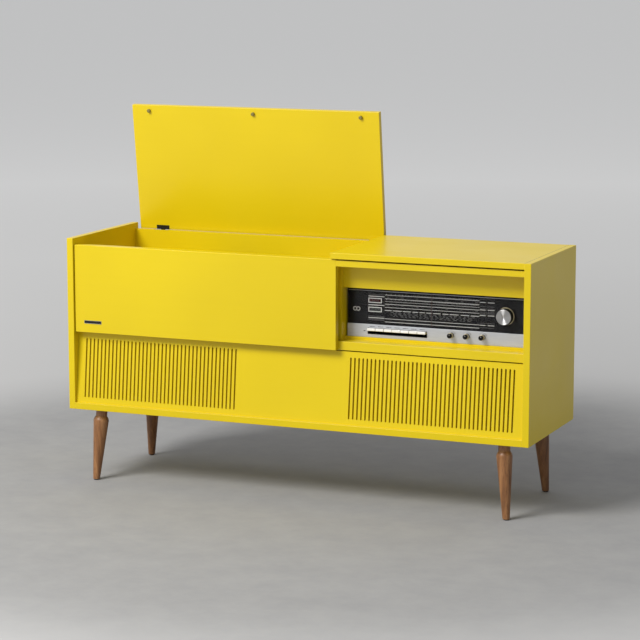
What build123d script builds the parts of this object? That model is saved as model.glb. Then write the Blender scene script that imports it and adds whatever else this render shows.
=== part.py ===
from build123d import *
import math
import os

# A radio phonograph console on four turned legs, in millimetres.
# It is modelled in the cabinet's frame: X from the middle of the front to the right, Y from the front
# face to the back, Z up from the cabinet's underside. At the end every piece moves by one vector, which
# puts the origin on the floor under the middle of the whole object's box.

# ---------------------------------------------------------------- Driving dimensions
# Cabinet boards
WIDTH = 1320
DEPTH = 394
BODY_HEIGHT = 472
BOARD = 18
THIN_BOARD = 16
COVER = 4
EDGE = 1.0
RADIO_BAY = 512
SLIT = 3
JOINT_GAP = 0.5
TOP_OVERHANG = 2

# Front, from the bottom up
BAFFLE_HEIGHT = 192
BAFFLE_FOOT_Y = 8
BAFFLE_LEAN = 20
BAFFLE_THICK = 12
LOWER_RAIL_HEIGHT = 23
UPPER_RAIL_DEPTH = 40
UPPER_RAIL_GAP = 7
FASCIA_HEIGHT = 58.6
FASCIA_SETBACK = 15
FASCIA_THICK = 10
NICHE_RAIL_GAP = 4

# Rear cover, its vents and its screws
COVER_GAP = 1
VENT_LENGTH = 110
VENT_WIDTH = 8
VENT_ROWS = 6
VENT_ROW_PITCH = 22
VENT_COLUMNS = 3
VENT_COLUMN_PITCH = 150
VENT_INSET = 100
VENT_RISE = 50
SCREW_RADIUS = 1.75
SCREW_LENGTH = 12
SCREW_HEAD_RADIUS = 3.6
SCREW_HEAD = 1.8
SCREW_INSET = 40
SCREW_BAY_INSET = 60
DIVIDER_SCREWS_Z = (120, 360)

# Grilles, loudspeakers and cloth
SLOT_COUNT = 40
SLOT_PITCH = 11.5
SLOT_WIDTH = 4.5
SLOT_FOOT = 15
SLOT_HEAD = 15
GRILLE_INSET_LEFT = 26
GRILLE_INSET_RIGHT = 30.5
CLOTH_THICK = 1
CLOTH_MARGIN = 9
SPEAKER_RADIUS = 78
CONE_DEPTH = 42
MAGNET_RADIUS = 36
MAGNET_HEIGHT = 22
SPEAKER_RIM = 2
SPEAKER_SURROUND = 8
SPEAKER_WALL = 1.5
BASKET_WINDOW = 24
CONE_THICK = 1
CONE_GAP = 1.1

# Legs
LEG_HEIGHT = 200
LEG_INSET_SIDE = 79
LEG_INSET_FRONT = 42
SPLAY_SIDE = 13
SPLAY_FRONT = 15
LEG_TOP_RADIUS = 17.5
LEG_NECK_RADIUS = 15.5
LEG_SHOULDER_RADIUS = 21
LEG_FOOT_RADIUS = 9
LEG_FLARE_DROP = 10
LEG_NECK_DROP = 22
LEG_SHOULDER_DROP = 36
LEG_PLATE_RADIUS = 22
LEG_PLATE_THICK = 3
LEG_STUD_RADIUS = 5
LEG_STUD_LENGTH = 30
LEG_STUD_FIT = 0.1
GLIDE_RADIUS = 7
GLIDE_THICK = 3

# Record well, lid and hinges
WELL_BACK_FOOT = 300
WELL_BACK_DROP = 1
LID_LEAN = 7.34
LID_REBATE = 35
LID_GAP_LEFT = 5
LID_GAP_RIGHT = 3
HINGE_OFFSET = 2.4
HINGE_DROP = 4.5
HINGE_INSET = 71.5
HINGE_RIGHT_INSET = 22
HINGE_LENGTH = 39
HINGE_BARREL = 2.2
HINGE_PIN = 0.9
HINGE_LEAF = 1.4
HINGE_LEAF_WIDTH = 12
HINGE_FIXED_LEAF = 25
KNUCKLE_GAP = 0.3
HINGE_SWING_GAP = 0.6
HINGE_REBATE_GAP = 1
HINGE_FLAP_GAP = 0.4
PAD_RADIUS = 5
PAD_INSET = 15.5
PAD_SIDE_INSET = 53

# Front of the record bay, and its badge
BAY_FRONT_SETBACK = 6
BAY_FRONT_THICK = 19
BAY_FRONT_GAP = 2
BAY_FRONT_LAP = 1.5
BADGE_THICK = 1
BADGE_LENGTH = 52
BADGE_HEIGHT = 8.5
BADGE_INSET = 27.6
BADGE_RISE = 25

# Record player
DECK_TOP = 330
PLAYER_WIDTH = 330
PLAYER_DEPTH = 280
PLAYER_LAP = 10
PLAYER_SHEET = 1.5
PLAYER_CORNER = 18
PLATTER_RADIUS = 127
PLATTER_HEIGHT = 15
PLATTER_LIFT = 5
PLATTER_SHIFT = 30
PLATTER_WALL = 4
PLATTER_HUB = 16
MAT_THICK = 3
SPINDLE_RADIUS = 3.55
SPINDLE_RISE = 12
RUNNING_FIT = 0.05
ARM_PIVOT_RIGHT = 135
ARM_PIVOT_BACK = 92
ARM_LENGTH = 200
ARM_RADIUS = 4.5
ARM_HEIGHT = 36.5
STYLUS_GAP = 3
ARM_TAIL = 46
COUNTERWEIGHT_RADIUS = 12
TRUNNION_RADIUS = 1.5
ARM_POST = 6
ARM_COLLAR_RADIUS = 19
ARM_COLLAR_TOP = 18
CHEEK_GAP = 9.5
CHEEK_THICK = 3
COUNTERWEIGHT_LENGTH = 24
SHELL_WIDTH = 18
SHELL_LENGTH = 34
SHELL_HEIGHT = 10
ARM_REST_SHARE = 0.68
SWITCH_STEM = 3
SWITCH_INSET = 20
SWITCH_SHIFT = 4
MOTOR_RADIUS = 32
MOTOR_HEIGHT = 42

# Radio
RADIO_GAP_LEFT = 5
RADIO_GAP_RIGHT = 6
SILL_HEIGHT = 8
SILL_LIP = 3.5
CONTROL_SETBACK = 3.5
CONTROL_HEIGHT = 34.5
CONTROL_THICK = 3.2
GLASS_THICK = 2.9
GLASS_TUCK = 10.6
GLASS_GAP = 1.6
FRONT_PLATE_THICK = 2
CHASSIS_DEPTH = 253
CHASSIS_HEIGHT = 64
CHASSIS_SHEET = 1.5
POINTER_THICK = 1
POINTER_WIDTH = 1.2
POINTER_FROM_LEFT = 234
POINTER_GAP = 0.3
SADDLE_WIDTH = 24
KEY_COUNT = 7
KEY_PITCH = 23.3
KEY_WIDTH = 21.3
KEY_HEIGHT = 6.5
KEY_LEFT = 58
KEY_RISE = 18.3
KEY_ROOM = 10
KEY_REACH = 9.5
KEY_ARM = 54
KEY_PIVOT_RADIUS = 1.5
KEY_HUB_RADIUS = 4
KEY_SLOT_MARGIN = 1.5
KEY_CHEEK = 2
KEY_WEB = 8
SMALL_KNOB_COUNT = 3
SMALL_KNOB_LEFT = 289.3
SMALL_KNOB_PITCH = 42.85
SMALL_KNOB_RISE = 20.4
SMALL_KNOB_RADIUS = 5.8
SMALL_KNOB_SKIRT = 7.2
SMALL_KNOB_LENGTH = 17
SHAFT_RADIUS = 3
TUNING_FROM_RIGHT = 63.7
TUNING_RISE = 44.6
TUNING_RADIUS = 20.3
TUNING_RING = 23.2
TUNING_REACH = 21.5
KNOB_GAP = 0.6
TUNING_RING_THICK = 4
DRUM_RADIUS = 14
SHAFT_REACH = 20
VALVE_COUNT = 6
VALVE_RADIUS = 11
VALVE_HEIGHT = 55
VALVE_PITCH = 62
VALVE_INSET = 60
PARTS_SETBACK = 180
CORE_SIZE = (70, 44, 58)
COIL_SIZE = (44, 68, 38)
SOCKET_PLATE_SIZE = (150, 44)
SOCKET_PLATE_THICK = 1.5
SOCKET_PLATE_INSET = 140
SOCKET_PLATE_HEIGHT = 150
INLET_SIZE = (40, 26)
INLET_WALL = 5
INLET_DEPTH = 8

# ---------------------------------------------------------------- Places that follow from them
IN_LEFT = -WIDTH / 2 + BOARD
IN_RIGHT = WIDTH / 2 - BOARD
DIV_RIGHT = IN_RIGHT - RADIO_BAY
DIV_LEFT = DIV_RIGHT - BOARD
BACK = DEPTH - COVER
TOP_UNDER = BODY_HEIGHT - THIN_BOARD
RAIL_FRONT = BAY_FRONT_SETBACK + BAY_FRONT_THICK
DIV_FRONT = RAIL_FRONT + BOARD
BAFFLE_TOP = BOARD + BAFFLE_HEIGHT
RAIL_FOOT = BAFFLE_TOP + SLIT
SHELF_TOP = RAIL_FOOT + LOWER_RAIL_HEIGHT
UPPER_RAIL_TOP = TOP_UNDER - UPPER_RAIL_GAP
UPPER_RAIL_FOOT = UPPER_RAIL_TOP - THIN_BOARD
NICHE_TOP = UPPER_RAIL_FOOT - FASCIA_HEIGHT
FASCIA_FRONT = DIV_FRONT + FASCIA_SETBACK
TOP_LEFT = DIV_LEFT + TOP_OVERHANG
WELL_BACK = DEPTH - BOARD
WELL_BACK_TOP = TOP_UNDER - WELL_BACK_DROP
LID_LEFT = IN_LEFT + LID_GAP_LEFT
LID_RIGHT = TOP_LEFT - LID_GAP_RIGHT
LID_OPEN = 90 - LID_LEAN
HINGE_Y = DEPTH + HINGE_OFFSET
HINGE_Z = TOP_UNDER - HINGE_DROP
BAY_FRONT_LEFT = IN_LEFT + BAY_FRONT_GAP
BAY_FRONT_RIGHT = DIV_RIGHT - BAY_FRONT_GAP
BAY_FRONT_FOOT = RAIL_FOOT + BAY_FRONT_LAP
BAY_FRONT_TOP = TOP_UNDER - BAY_FRONT_GAP
NICHE_RAIL_TOP = TOP_UNDER - NICHE_RAIL_GAP
RADIO_LEFT = DIV_RIGHT + RADIO_GAP_LEFT
RADIO_RIGHT = IN_RIGHT - RADIO_GAP_RIGHT
CONTROL_FOOT = SHELF_TOP + SILL_HEIGHT
GLASS_FOOT = CONTROL_FOOT + CONTROL_HEIGHT
GLASS_TOP = NICHE_TOP + GLASS_TUCK
CONTROL_FRONT = FASCIA_FRONT + FASCIA_THICK + CONTROL_SETBACK
SILL_FRONT = CONTROL_FRONT - SILL_LIP
KEY_FRONT = CONTROL_FRONT - KEY_REACH
TUNING_FRONT = CONTROL_FRONT - TUNING_REACH
PLATE_FRONT = CONTROL_FRONT + CONTROL_THICK
PLATE_BACK = PLATE_FRONT + FRONT_PLATE_THICK
CHASSIS_TOP = SHELF_TOP + CHASSIS_HEIGHT
WELL_MIDDLE_X = (IN_LEFT + DIV_LEFT) / 2
WELL_MIDDLE_Y = (DIV_FRONT + WELL_BACK) / 2
PLATTER_X = WELL_MIDDLE_X - PLATTER_SHIFT
PLATTER_Y = WELL_MIDDLE_Y
PLAYER_TOP = DECK_TOP + PLAYER_SHEET
MAT_FOOT = PLAYER_TOP + PLATTER_LIFT + PLATTER_HEIGHT
MAT_TOP = MAT_FOOT + MAT_THICK
ARM_X = WELL_MIDDLE_X + ARM_PIVOT_RIGHT
ARM_Y = WELL_MIDDLE_Y + ARM_PIVOT_BACK
ARM_Z = PLAYER_TOP + ARM_HEIGHT
SWITCH_X = ARM_X - SWITCH_SHIFT
SWITCH_Y = WELL_MIDDLE_Y - PLAYER_DEPTH / 2 + SWITCH_INSET
HINGES_X = (LID_LEFT + HINGE_INSET, LID_RIGHT - HINGE_RIGHT_INSET)
GLASS_FRONT = PLATE_FRONT - GLASS_GAP - GLASS_THICK
POINTER_X = RADIO_LEFT + POINTER_FROM_LEFT
KEYS_LEFT = RADIO_LEFT + KEY_LEFT
KEYS_RIGHT = KEYS_LEFT + KEY_COUNT * KEY_PITCH
KEY_FOOT = CONTROL_FOOT + KEY_RISE
KEY_TOP = KEY_FOOT + KEY_HEIGHT
KEY_PIVOT_Y = KEY_FRONT + KEY_ARM
KEY_PIVOT_Z = KEY_FOOT + KEY_HEIGHT / 2
SLOT_LEFT = KEYS_LEFT - KEY_SLOT_MARGIN
SLOT_RIGHT = KEYS_RIGHT + KEY_SLOT_MARGIN
KEY_SLOT_FOOT = KEY_FOOT - KEY_ROOM
KEY_SLOT_TOP = KEY_TOP + 1
TUNING_X = RADIO_RIGHT - TUNING_FROM_RIGHT
TUNING_Z = GLASS_FOOT + TUNING_RISE
SMALL_KNOB_Z = CONTROL_FOOT + SMALL_KNOB_RISE


# ---------------------------------------------------------------- Helpers
pieces = {}


def block(x0, x1, y0, y1, z0, z1):
    """A box between six planes."""
    size = Box(x1 - x0, y1 - y0, z1 - z0)
    return Pos((x0 + x1) / 2, (y0 + y1) / 2, (z0 + z1) / 2) * size


def board(x0, x1, y0, y1, z0, z1):
    """A box with its edges eased."""
    panel = block(x0, x1, y0, y1, z0, z1)
    return fillet(panel.edges(), EDGE)


def bar(radius, start, length, direction=(0, 0, 1)):
    """A round bar from a start point along a direction."""
    along = Plane(origin=start, z_dir=direction)
    return along * Cylinder(radius, length, align=(Align.CENTER, Align.CENTER, Align.MIN))


def tube(radius, bore, start, length, direction=(0, 0, 1)):
    """A round bar with a bore right through it."""
    return bar(radius, start, length, direction) - bar(bore, start, length, direction)


def turned(outline):
    """A solid turned about Z from its half outline of (radius, height) points."""
    face = make_face(Polyline(*[(radius, 0, height) for radius, height in outline], close=True))
    return revolve(face, Axis.Z)


def keep(name, *shapes):
    """Stores one piece, or several separate ones, under a node's name."""
    pieces[name] = shapes[0] if len(shapes) == 1 else Compound(children=list(shapes))


def at_each(make, *values):
    """The piece that a function makes at each of several places."""
    return [make(value) for value in values]


# ---------------------------------------------------------------- Cabinet boards
def make_sides():
    keep("side_panel_left", board(-WIDTH / 2, IN_LEFT, 0, DEPTH, 0, BODY_HEIGHT))
    keep("side_panel_right", board(IN_RIGHT, WIDTH / 2, 0, DEPTH, 0, BODY_HEIGHT))


def make_bottom():
    panel = block(IN_LEFT, IN_RIGHT, 0, BACK, 0, BOARD)
    front_edges = panel.edges().filter_by(Axis.X).group_by(Axis.Y)[0]
    panel = fillet(front_edges, EDGE)
    for leg in leg_places():
        x, y, _, _ = leg
        panel -= bar(LEG_PLATE_RADIUS, (x, y, 0), LEG_PLATE_THICK)
    for x, z in screw_places():
        if z < BOARD:
            panel -= bar(SCREW_RADIUS, (x, BACK, z), SCREW_LENGTH, (0, -1, 0))
    keep("bottom_panel", panel)


def make_top():
    panel = block(TOP_LEFT, IN_RIGHT, EDGE, BACK, TOP_UNDER, BODY_HEIGHT)
    seen = panel.edges().filter_by(Axis.X).group_by(Axis.Y)[0]
    seen += panel.edges().filter_by(Axis.Y).group_by(Axis.X)[0]
    panel = fillet(seen, EDGE)
    for x, z in screw_places():
        if z > TOP_UNDER:
            panel -= bar(SCREW_RADIUS, (x, BACK, z), SCREW_LENGTH, (0, -1, 0))
    keep("top_panel", panel)


def make_divider():
    panel = block(DIV_LEFT, DIV_RIGHT, DIV_FRONT, BACK, BOARD, TOP_UNDER)
    panel -= block(DIV_LEFT, DIV_RIGHT, DIV_FRONT, RAIL_FRONT + UPPER_RAIL_DEPTH, UPPER_RAIL_FOOT, TOP_UNDER)
    for x, z in screw_places():
        if DIV_LEFT < x < DIV_RIGHT and BOARD < z < TOP_UNDER:
            panel -= bar(SCREW_RADIUS, (x, BACK, z), SCREW_LENGTH, (0, -1, 0))
    keep("divider", panel)


def make_rails():
    upper = block(
        IN_LEFT, IN_RIGHT, RAIL_FRONT, RAIL_FRONT + UPPER_RAIL_DEPTH, UPPER_RAIL_FOOT, UPPER_RAIL_TOP
    )
    keep("upper_rail", upper)
    niche = block(
        BAY_FRONT_RIGHT, IN_RIGHT, BAY_FRONT_SETBACK, RAIL_FRONT, NICHE_RAIL_TOP - THIN_BOARD, NICHE_RAIL_TOP
    )
    keep("niche_rail", fillet(niche.edges().filter_by(Axis.X).group_by(Axis.Y)[0], EDGE))
    lower = block(IN_LEFT, IN_RIGHT, RAIL_FRONT, DIV_FRONT, RAIL_FOOT, SHELF_TOP)
    keep("lower_rail", fillet(lower.edges().filter_by(Axis.X).group_by(Axis.Y)[0], EDGE))


def make_inner_boards():
    back = block(IN_LEFT, DIV_LEFT, WELL_BACK, DEPTH, WELL_BACK_FOOT, WELL_BACK_TOP)
    for x in HINGES_X:
        half = HINGE_LENGTH / 2 + HINGE_REBATE_GAP
        rebate_front = DEPTH - HINGE_LEAF_WIDTH - HINGE_REBATE_GAP
        back -= block(x - half, x + half, rebate_front, DEPTH, WELL_BACK_TOP - HINGE_LEAF, WELL_BACK_TOP)
    keep("well_back_panel", back)
    fascia = block(
        DIV_RIGHT, IN_RIGHT, FASCIA_FRONT, FASCIA_FRONT + FASCIA_THICK, NICHE_TOP, UPPER_RAIL_FOOT
    )
    keep("radio_fascia", fillet(fascia.edges().filter_by(Axis.X).group_by(Axis.Z)[0], EDGE))
    shelf = block(DIV_RIGHT, IN_RIGHT, DIV_FRONT, BACK, SHELF_TOP - BOARD, SHELF_TOP)
    shelf += block(DIV_RIGHT, IN_RIGHT, SILL_FRONT, PLATE_BACK, SHELF_TOP, CONTROL_FOOT)
    keep("radio_shelf", shelf)


def make_rear_cover():
    right = IN_RIGHT - JOINT_GAP
    low = block(IN_LEFT + JOINT_GAP, right, BACK, DEPTH, COVER_GAP, WELL_BACK_FOOT - COVER_GAP)
    high = block(TOP_LEFT, right, BACK, DEPTH, COVER_GAP, BODY_HEIGHT - COVER_GAP)
    cover = low + high
    for row in range(VENT_ROWS):
        z = SHELF_TOP + VENT_RISE + VENT_ROW_PITCH * row
        for column in range(VENT_COLUMNS):
            x = DIV_RIGHT + VENT_INSET + VENT_COLUMN_PITCH * column
            outer_face = Plane(origin=(x, DEPTH, z), x_dir=(1, 0, 0), z_dir=(0, -1, 0))
            cover -= extrude(outer_face * SlotOverall(VENT_LENGTH, VENT_WIDTH), COVER)
    for x, z in screw_places():
        cover -= bar(SCREW_RADIUS, (x, BACK, z), COVER, (0, 1, 0))
    keep("rear_cover", cover)


def screw_places():
    """The middles of the rear cover's screws, as (x, z)."""
    low_left = IN_LEFT + SCREW_INSET
    high_left = DIV_RIGHT + SCREW_BAY_INSET
    step = (IN_RIGHT - SCREW_INSET - low_left) / 4
    low = [(low_left + step * index, BOARD / 2) for index in range(5)]
    step = (IN_RIGHT - SCREW_INSET - high_left) / 2
    high = [(high_left + step * index, TOP_UNDER + THIN_BOARD / 2) for index in range(3)]
    middle_x = (DIV_LEFT + DIV_RIGHT) / 2
    return low + high + [(middle_x, z) for z in DIVIDER_SCREWS_Z]


def make_screws():
    def screw(place):
        x, z = place
        shank = bar(SCREW_RADIUS, (x, DEPTH, z), COVER + SCREW_LENGTH - 1, (0, -1, 0))
        head = bar(SCREW_HEAD_RADIUS, (x, DEPTH, z), SCREW_HEAD, (0, 1, 0))
        head = fillet(head.edges().group_by(Axis.Y)[-1], SCREW_HEAD / 2)
        return shank + head

    keep("rear_cover_screws", *at_each(screw, *screw_places()))


# ---------------------------------------------------------------- Baffle, cloth, loudspeakers
def baffle_plane(depth=0):
    """The leaning plane of the baffle's front, or one behind it: X along, Y up the slope."""
    slope = math.hypot(BAFFLE_LEAN, BAFFLE_HEIGHT)
    normal = Vector(0, -BAFFLE_HEIGHT / slope, BAFFLE_LEAN / slope)
    start = Vector(0, BAFFLE_FOOT_Y, BOARD) - normal * depth
    return Plane(origin=start, x_dir=(1, 0, 0), z_dir=normal)


def slope_height(z):
    """How far up the baffle's slope a height lies."""
    return (z - BOARD) * math.hypot(BAFFLE_LEAN, BAFFLE_HEIGHT) / BAFFLE_HEIGHT


def grille_starts():
    """The first slot's middle in each grille."""
    span = SLOT_PITCH * (SLOT_COUNT - 1)
    return IN_LEFT + GRILLE_INSET_LEFT, IN_RIGHT - GRILLE_INSET_RIGHT - span


def make_baffle():
    foot = slope_height(BOARD + SLOT_FOOT)
    head = slope_height(BAFFLE_TOP - SLOT_HEAD)
    length = head - foot
    front = baffle_plane()
    tall = slope_height(BAFFLE_TOP) + BAFFLE_LEAN
    sheet = front * Pos(0, slope_height(BAFFLE_TOP) / 2) * Rectangle(IN_RIGHT - IN_LEFT, tall)
    slab = extrude(sheet, -BAFFLE_THICK)
    slab &= block(IN_LEFT, IN_RIGHT, 0, DEPTH, BOARD, BAFFLE_TOP)
    slots = []
    for start in grille_starts():
        for index in range(SLOT_COUNT):
            place = Pos(start + index * SLOT_PITCH, foot + length / 2)
            slots.append(front * place * Rot(0, 0, 90) * SlotOverall(length, SLOT_WIDTH))
    cut = extrude(Sketch() + slots, BAFFLE_THICK, both=True)
    keep("baffle", slab - cut)
    span = SLOT_PITCH * (SLOT_COUNT - 1)
    cloths = []
    for start in grille_starts():
        place = Pos(start + span / 2, foot + length / 2)
        outline = Rectangle(span + 2 * CLOTH_MARGIN, length + CLOTH_MARGIN)
        cloths.append(extrude(baffle_plane(BAFFLE_THICK) * place * outline, -CLOTH_THICK))
    keep("grille_cloths", *cloths)


def make_speakers():
    span = SLOT_PITCH * (SLOT_COUNT - 1)
    rise = (slope_height(BOARD + SLOT_FOOT) + slope_height(BAFFLE_TOP - SLOT_HEAD)) / 2
    wall = SPEAKER_WALL
    neck = MAGNET_RADIUS - 6
    mouth = SPEAKER_RADIUS - SPEAKER_SURROUND
    coil = neck - 12
    cone_end = CONE_DEPTH - SPEAKER_SURROUND
    frames = []
    cones = []
    for start in grille_starts():
        # Here Z is the speaker's own axis, from its rim backwards.
        ring = tube(SPEAKER_RADIUS, mouth, (0, 0, 0), SPEAKER_RIM)
        basket = turned([
            (mouth, 0), (SPEAKER_RADIUS - SPEAKER_RIM, 0), (neck + 4, CONE_DEPTH),
            (neck + 4, CONE_DEPTH + wall), (0, CONE_DEPTH + wall), (0, CONE_DEPTH), (neck, CONE_DEPTH),
        ])
        window = Pos(0, 0, CONE_DEPTH / 2 + SPEAKER_RIM) * Box(
            BASKET_WINDOW, 3 * SPEAKER_RADIUS, CONE_DEPTH - 2 * SPEAKER_SURROUND + SPEAKER_RIM
        )
        basket -= window
        basket -= Rot(0, 0, 90) * window
        magnet = bar(MAGNET_RADIUS, (0, 0, CONE_DEPTH + wall), MAGNET_HEIGHT)
        magnet = chamfer(magnet.edges().group_by(Axis.Z)[-1], 2)
        cone = turned([
            (mouth - CONE_GAP, 0), (mouth - CONE_GAP, CONE_THICK), (coil, cone_end), (0, cone_end),
            (0, cone_end - CONE_THICK), (coil - CONE_THICK, cone_end - CONE_THICK),
        ])
        behind = baffle_plane(BAFFLE_THICK + CLOTH_THICK)
        seat = Plane(origin=behind.origin, x_dir=(1, 0, 0), z_dir=-behind.z_dir)
        place = seat * Pos(start + span / 2, -rise)
        frames.append(place * (ring + basket + magnet))
        cones.append(place * cone)
    keep("speaker_frames", *frames)
    keep("speaker_cones", *cones)


# ---------------------------------------------------------------- Legs
def leg_places():
    """Each leg's top middle and the signs of its splay: left or right, front or back."""
    x = WIDTH / 2 - LEG_INSET_SIDE
    front = LEG_INSET_FRONT
    back = DEPTH - LEG_INSET_FRONT
    return [(-x, front, -1, -1), (x, front, 1, -1), (-x, back, -1, 1), (x, back, 1, 1)]


def leg_frame(leg):
    """The leg's own frame, with its Z down the leg from the middle of its top."""
    x, y, side, depth = leg
    down = Vector(side * SPLAY_SIDE, depth * SPLAY_FRONT, -LEG_HEIGHT)
    return Plane(origin=(x, y, 0), x_dir=Vector(0, 1, 0).cross(down), z_dir=down)


def leg_outline(above):
    """The turned leg: a small flare, a straight neck, a round shoulder and a straight taper to the foot."""
    foot = LEG_HEIGHT + above
    with BuildSketch(Plane.XZ) as outline:
        with BuildLine():
            Polyline((0, -above), (LEG_TOP_RADIUS, -above), (LEG_TOP_RADIUS, 0))
            Spline((LEG_TOP_RADIUS, 0), (LEG_NECK_RADIUS, LEG_FLARE_DROP), tangents=((-0.1, 1), (0, 1)))
            Line((LEG_NECK_RADIUS, LEG_FLARE_DROP), (LEG_NECK_RADIUS, LEG_NECK_DROP))
            Spline(
                (LEG_NECK_RADIUS, LEG_NECK_DROP), (LEG_SHOULDER_RADIUS, LEG_SHOULDER_DROP),
                tangents=((0.6, 1), (-0.07, 1)),
            )
            Polyline(
                (LEG_SHOULDER_RADIUS, LEG_SHOULDER_DROP), (LEG_FOOT_RADIUS, foot), (0, foot), (0, -above)
            )
        make_face()
    return outline.sketch


def make_legs():
    above = 5
    body = revolve(leg_outline(above), Axis.Z)
    if body.bounding_box().max.Z < 0:
        body = mirror(body, Plane.XY)
    names = ["leg_front_left", "leg_front_right", "leg_rear_left", "leg_rear_right"]
    plates = []
    glides = []
    slice_box = block(-WIDTH, WIDTH, -DEPTH, 2 * DEPTH, GLIDE_THICK - LEG_HEIGHT, 0)
    for name, leg in zip(names, leg_places()):
        x, y, side, depth = leg
        frame = leg_frame(leg)
        bore = frame * Cylinder(
            LEG_STUD_RADIUS + LEG_STUD_FIT, 2 * LEG_STUD_LENGTH + 2,
            align=(Align.CENTER, Align.CENTER, Align.CENTER),
        )
        keep(name, (frame * body & slice_box) - bore)
        disc = bar(LEG_PLATE_RADIUS - LEG_STUD_FIT, (x, y, 0), LEG_PLATE_THICK)
        stud = frame * Pos(0, 0, LEG_STUD_LENGTH / 2 - 1) * Cylinder(LEG_STUD_RADIUS, LEG_STUD_LENGTH + 2)
        plates.append(disc + stud)
        foot = Vector(x + side * SPLAY_SIDE, y + depth * SPLAY_FRONT, -LEG_HEIGHT)
        glide = bar(GLIDE_RADIUS, foot, GLIDE_THICK)
        glides.append(chamfer(glide.edges().group_by(Axis.Z)[0], 1))
    keep("leg_plates", *plates)
    keep("leg_glides", *glides)


# ---------------------------------------------------------------- Lid and its hinges
def swung_open(shape):
    """A piece of the closed lid, turned about the hinge line into the open lid's place."""
    return Pos(0, HINGE_Y, HINGE_Z) * Rot(-LID_OPEN, 0, 0) * Pos(0, -HINGE_Y, -HINGE_Z) * shape


def make_lid():
    keep("lid_panel", swung_open(board(LID_LEFT, LID_RIGHT, LID_REBATE, DEPTH, TOP_UNDER, BODY_HEIGHT)))
    height = UPPER_RAIL_GAP - JOINT_GAP

    def pad(x):
        button = bar(PAD_RADIUS, (x, LID_REBATE + PAD_INSET, TOP_UNDER), height, (0, 0, -1))
        return swung_open(fillet(button.edges().group_by(Axis.Z)[0], 1.5))

    left = LID_LEFT + PAD_SIDE_INSET
    right = LID_RIGHT - PAD_SIDE_INSET
    keep("lid_pads", *at_each(pad, left, (left + right) / 2, right))


def make_hinges():
    knuckle = (HINGE_LENGTH - 2 * KNUCKLE_GAP) / 3
    step = knuckle + KNUCKLE_GAP
    fixed = []
    moving = []
    for middle in HINGES_X:
        x0 = middle - HINGE_LENGTH / 2
        x1 = middle + HINGE_LENGTH / 2
        inner0 = x0 + step
        inner1 = inner0 + knuckle
        leaf = block(x0, x1, DEPTH, DEPTH + HINGE_LEAF, HINGE_Z - HINGE_FIXED_LEAF, HINGE_Z)
        leaf += bar(HINGE_BARREL, (x0, HINGE_Y, HINGE_Z), HINGE_LENGTH, (1, 0, 0))
        room = HINGE_BARREL + HINGE_SWING_GAP
        leaf -= block(
            inner0 - KNUCKLE_GAP, inner1 + KNUCKLE_GAP, DEPTH, HINGE_Y + room, HINGE_Z - room, HINGE_Z + room
        )
        fixed.append(leaf + bar(HINGE_PIN, (x0, HINGE_Y, HINGE_Z), HINGE_LENGTH, (1, 0, 0)))
        under = TOP_UNDER - HINGE_LEAF
        flap_back = DEPTH - HINGE_FLAP_GAP
        flap = block(x0, x1, DEPTH - HINGE_LEAF_WIDTH, flap_back, under, TOP_UNDER)
        flap += block(inner0, inner1, flap_back, HINGE_Y, under, TOP_UNDER)
        flap += block(inner0, inner1, HINGE_Y - HINGE_LEAF, HINGE_Y, HINGE_Z, TOP_UNDER)
        flap += bar(HINGE_BARREL, (inner0, HINGE_Y, HINGE_Z), knuckle, (1, 0, 0))
        flap -= bar(HINGE_PIN + RUNNING_FIT, (inner0, HINGE_Y, HINGE_Z), knuckle, (1, 0, 0))
        moving.append(swung_open(flap))
    keep("lid_hinges_fixed", *fixed)
    keep("lid_hinges_moving", *moving)


# ---------------------------------------------------------------- Front of the record bay
def make_bay_front():
    panel = board(
        BAY_FRONT_LEFT, BAY_FRONT_RIGHT, BAY_FRONT_SETBACK, RAIL_FRONT, BAY_FRONT_FOOT, BAY_FRONT_TOP
    )
    keep("record_bay_front", panel)
    left = BAY_FRONT_LEFT + BADGE_INSET
    foot = BAY_FRONT_FOOT + BADGE_RISE
    front = BAY_FRONT_SETBACK - BADGE_THICK
    badge = block(left, left + BADGE_LENGTH, front, BAY_FRONT_SETBACK, foot, foot + BADGE_HEIGHT)
    keep("front_badge", chamfer(badge.edges().group_by(Axis.Y)[0], 0.4))


# ---------------------------------------------------------------- Record player
def make_deck():
    deck = block(IN_LEFT, DIV_LEFT, RAIL_FRONT, WELL_BACK, DECK_TOP - BOARD, DECK_TOP)
    half_x = PLAYER_WIDTH / 2 - PLAYER_LAP
    half_y = PLAYER_DEPTH / 2 - PLAYER_LAP
    deck -= block(
        WELL_MIDDLE_X - half_x, WELL_MIDDLE_X + half_x, WELL_MIDDLE_Y - half_y, WELL_MIDDLE_Y + half_y,
        DECK_TOP - BOARD, DECK_TOP,
    )
    keep("deck_board", deck)
    outline = RectangleRounded(PLAYER_WIDTH, PLAYER_DEPTH, PLAYER_CORNER)
    plate = Pos(WELL_MIDDLE_X, WELL_MIDDLE_Y, DECK_TOP) * extrude(outline, PLAYER_SHEET)
    plate -= bar(SPINDLE_RADIUS, (PLATTER_X, PLATTER_Y, DECK_TOP), PLAYER_SHEET)
    plate -= bar(SWITCH_STEM + RUNNING_FIT, (SWITCH_X, SWITCH_Y, DECK_TOP), PLAYER_SHEET)
    plate -= bar(ARM_POST + RUNNING_FIT, (ARM_X, ARM_Y, DECK_TOP), PLAYER_SHEET)
    keep("player_plate", plate)


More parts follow.
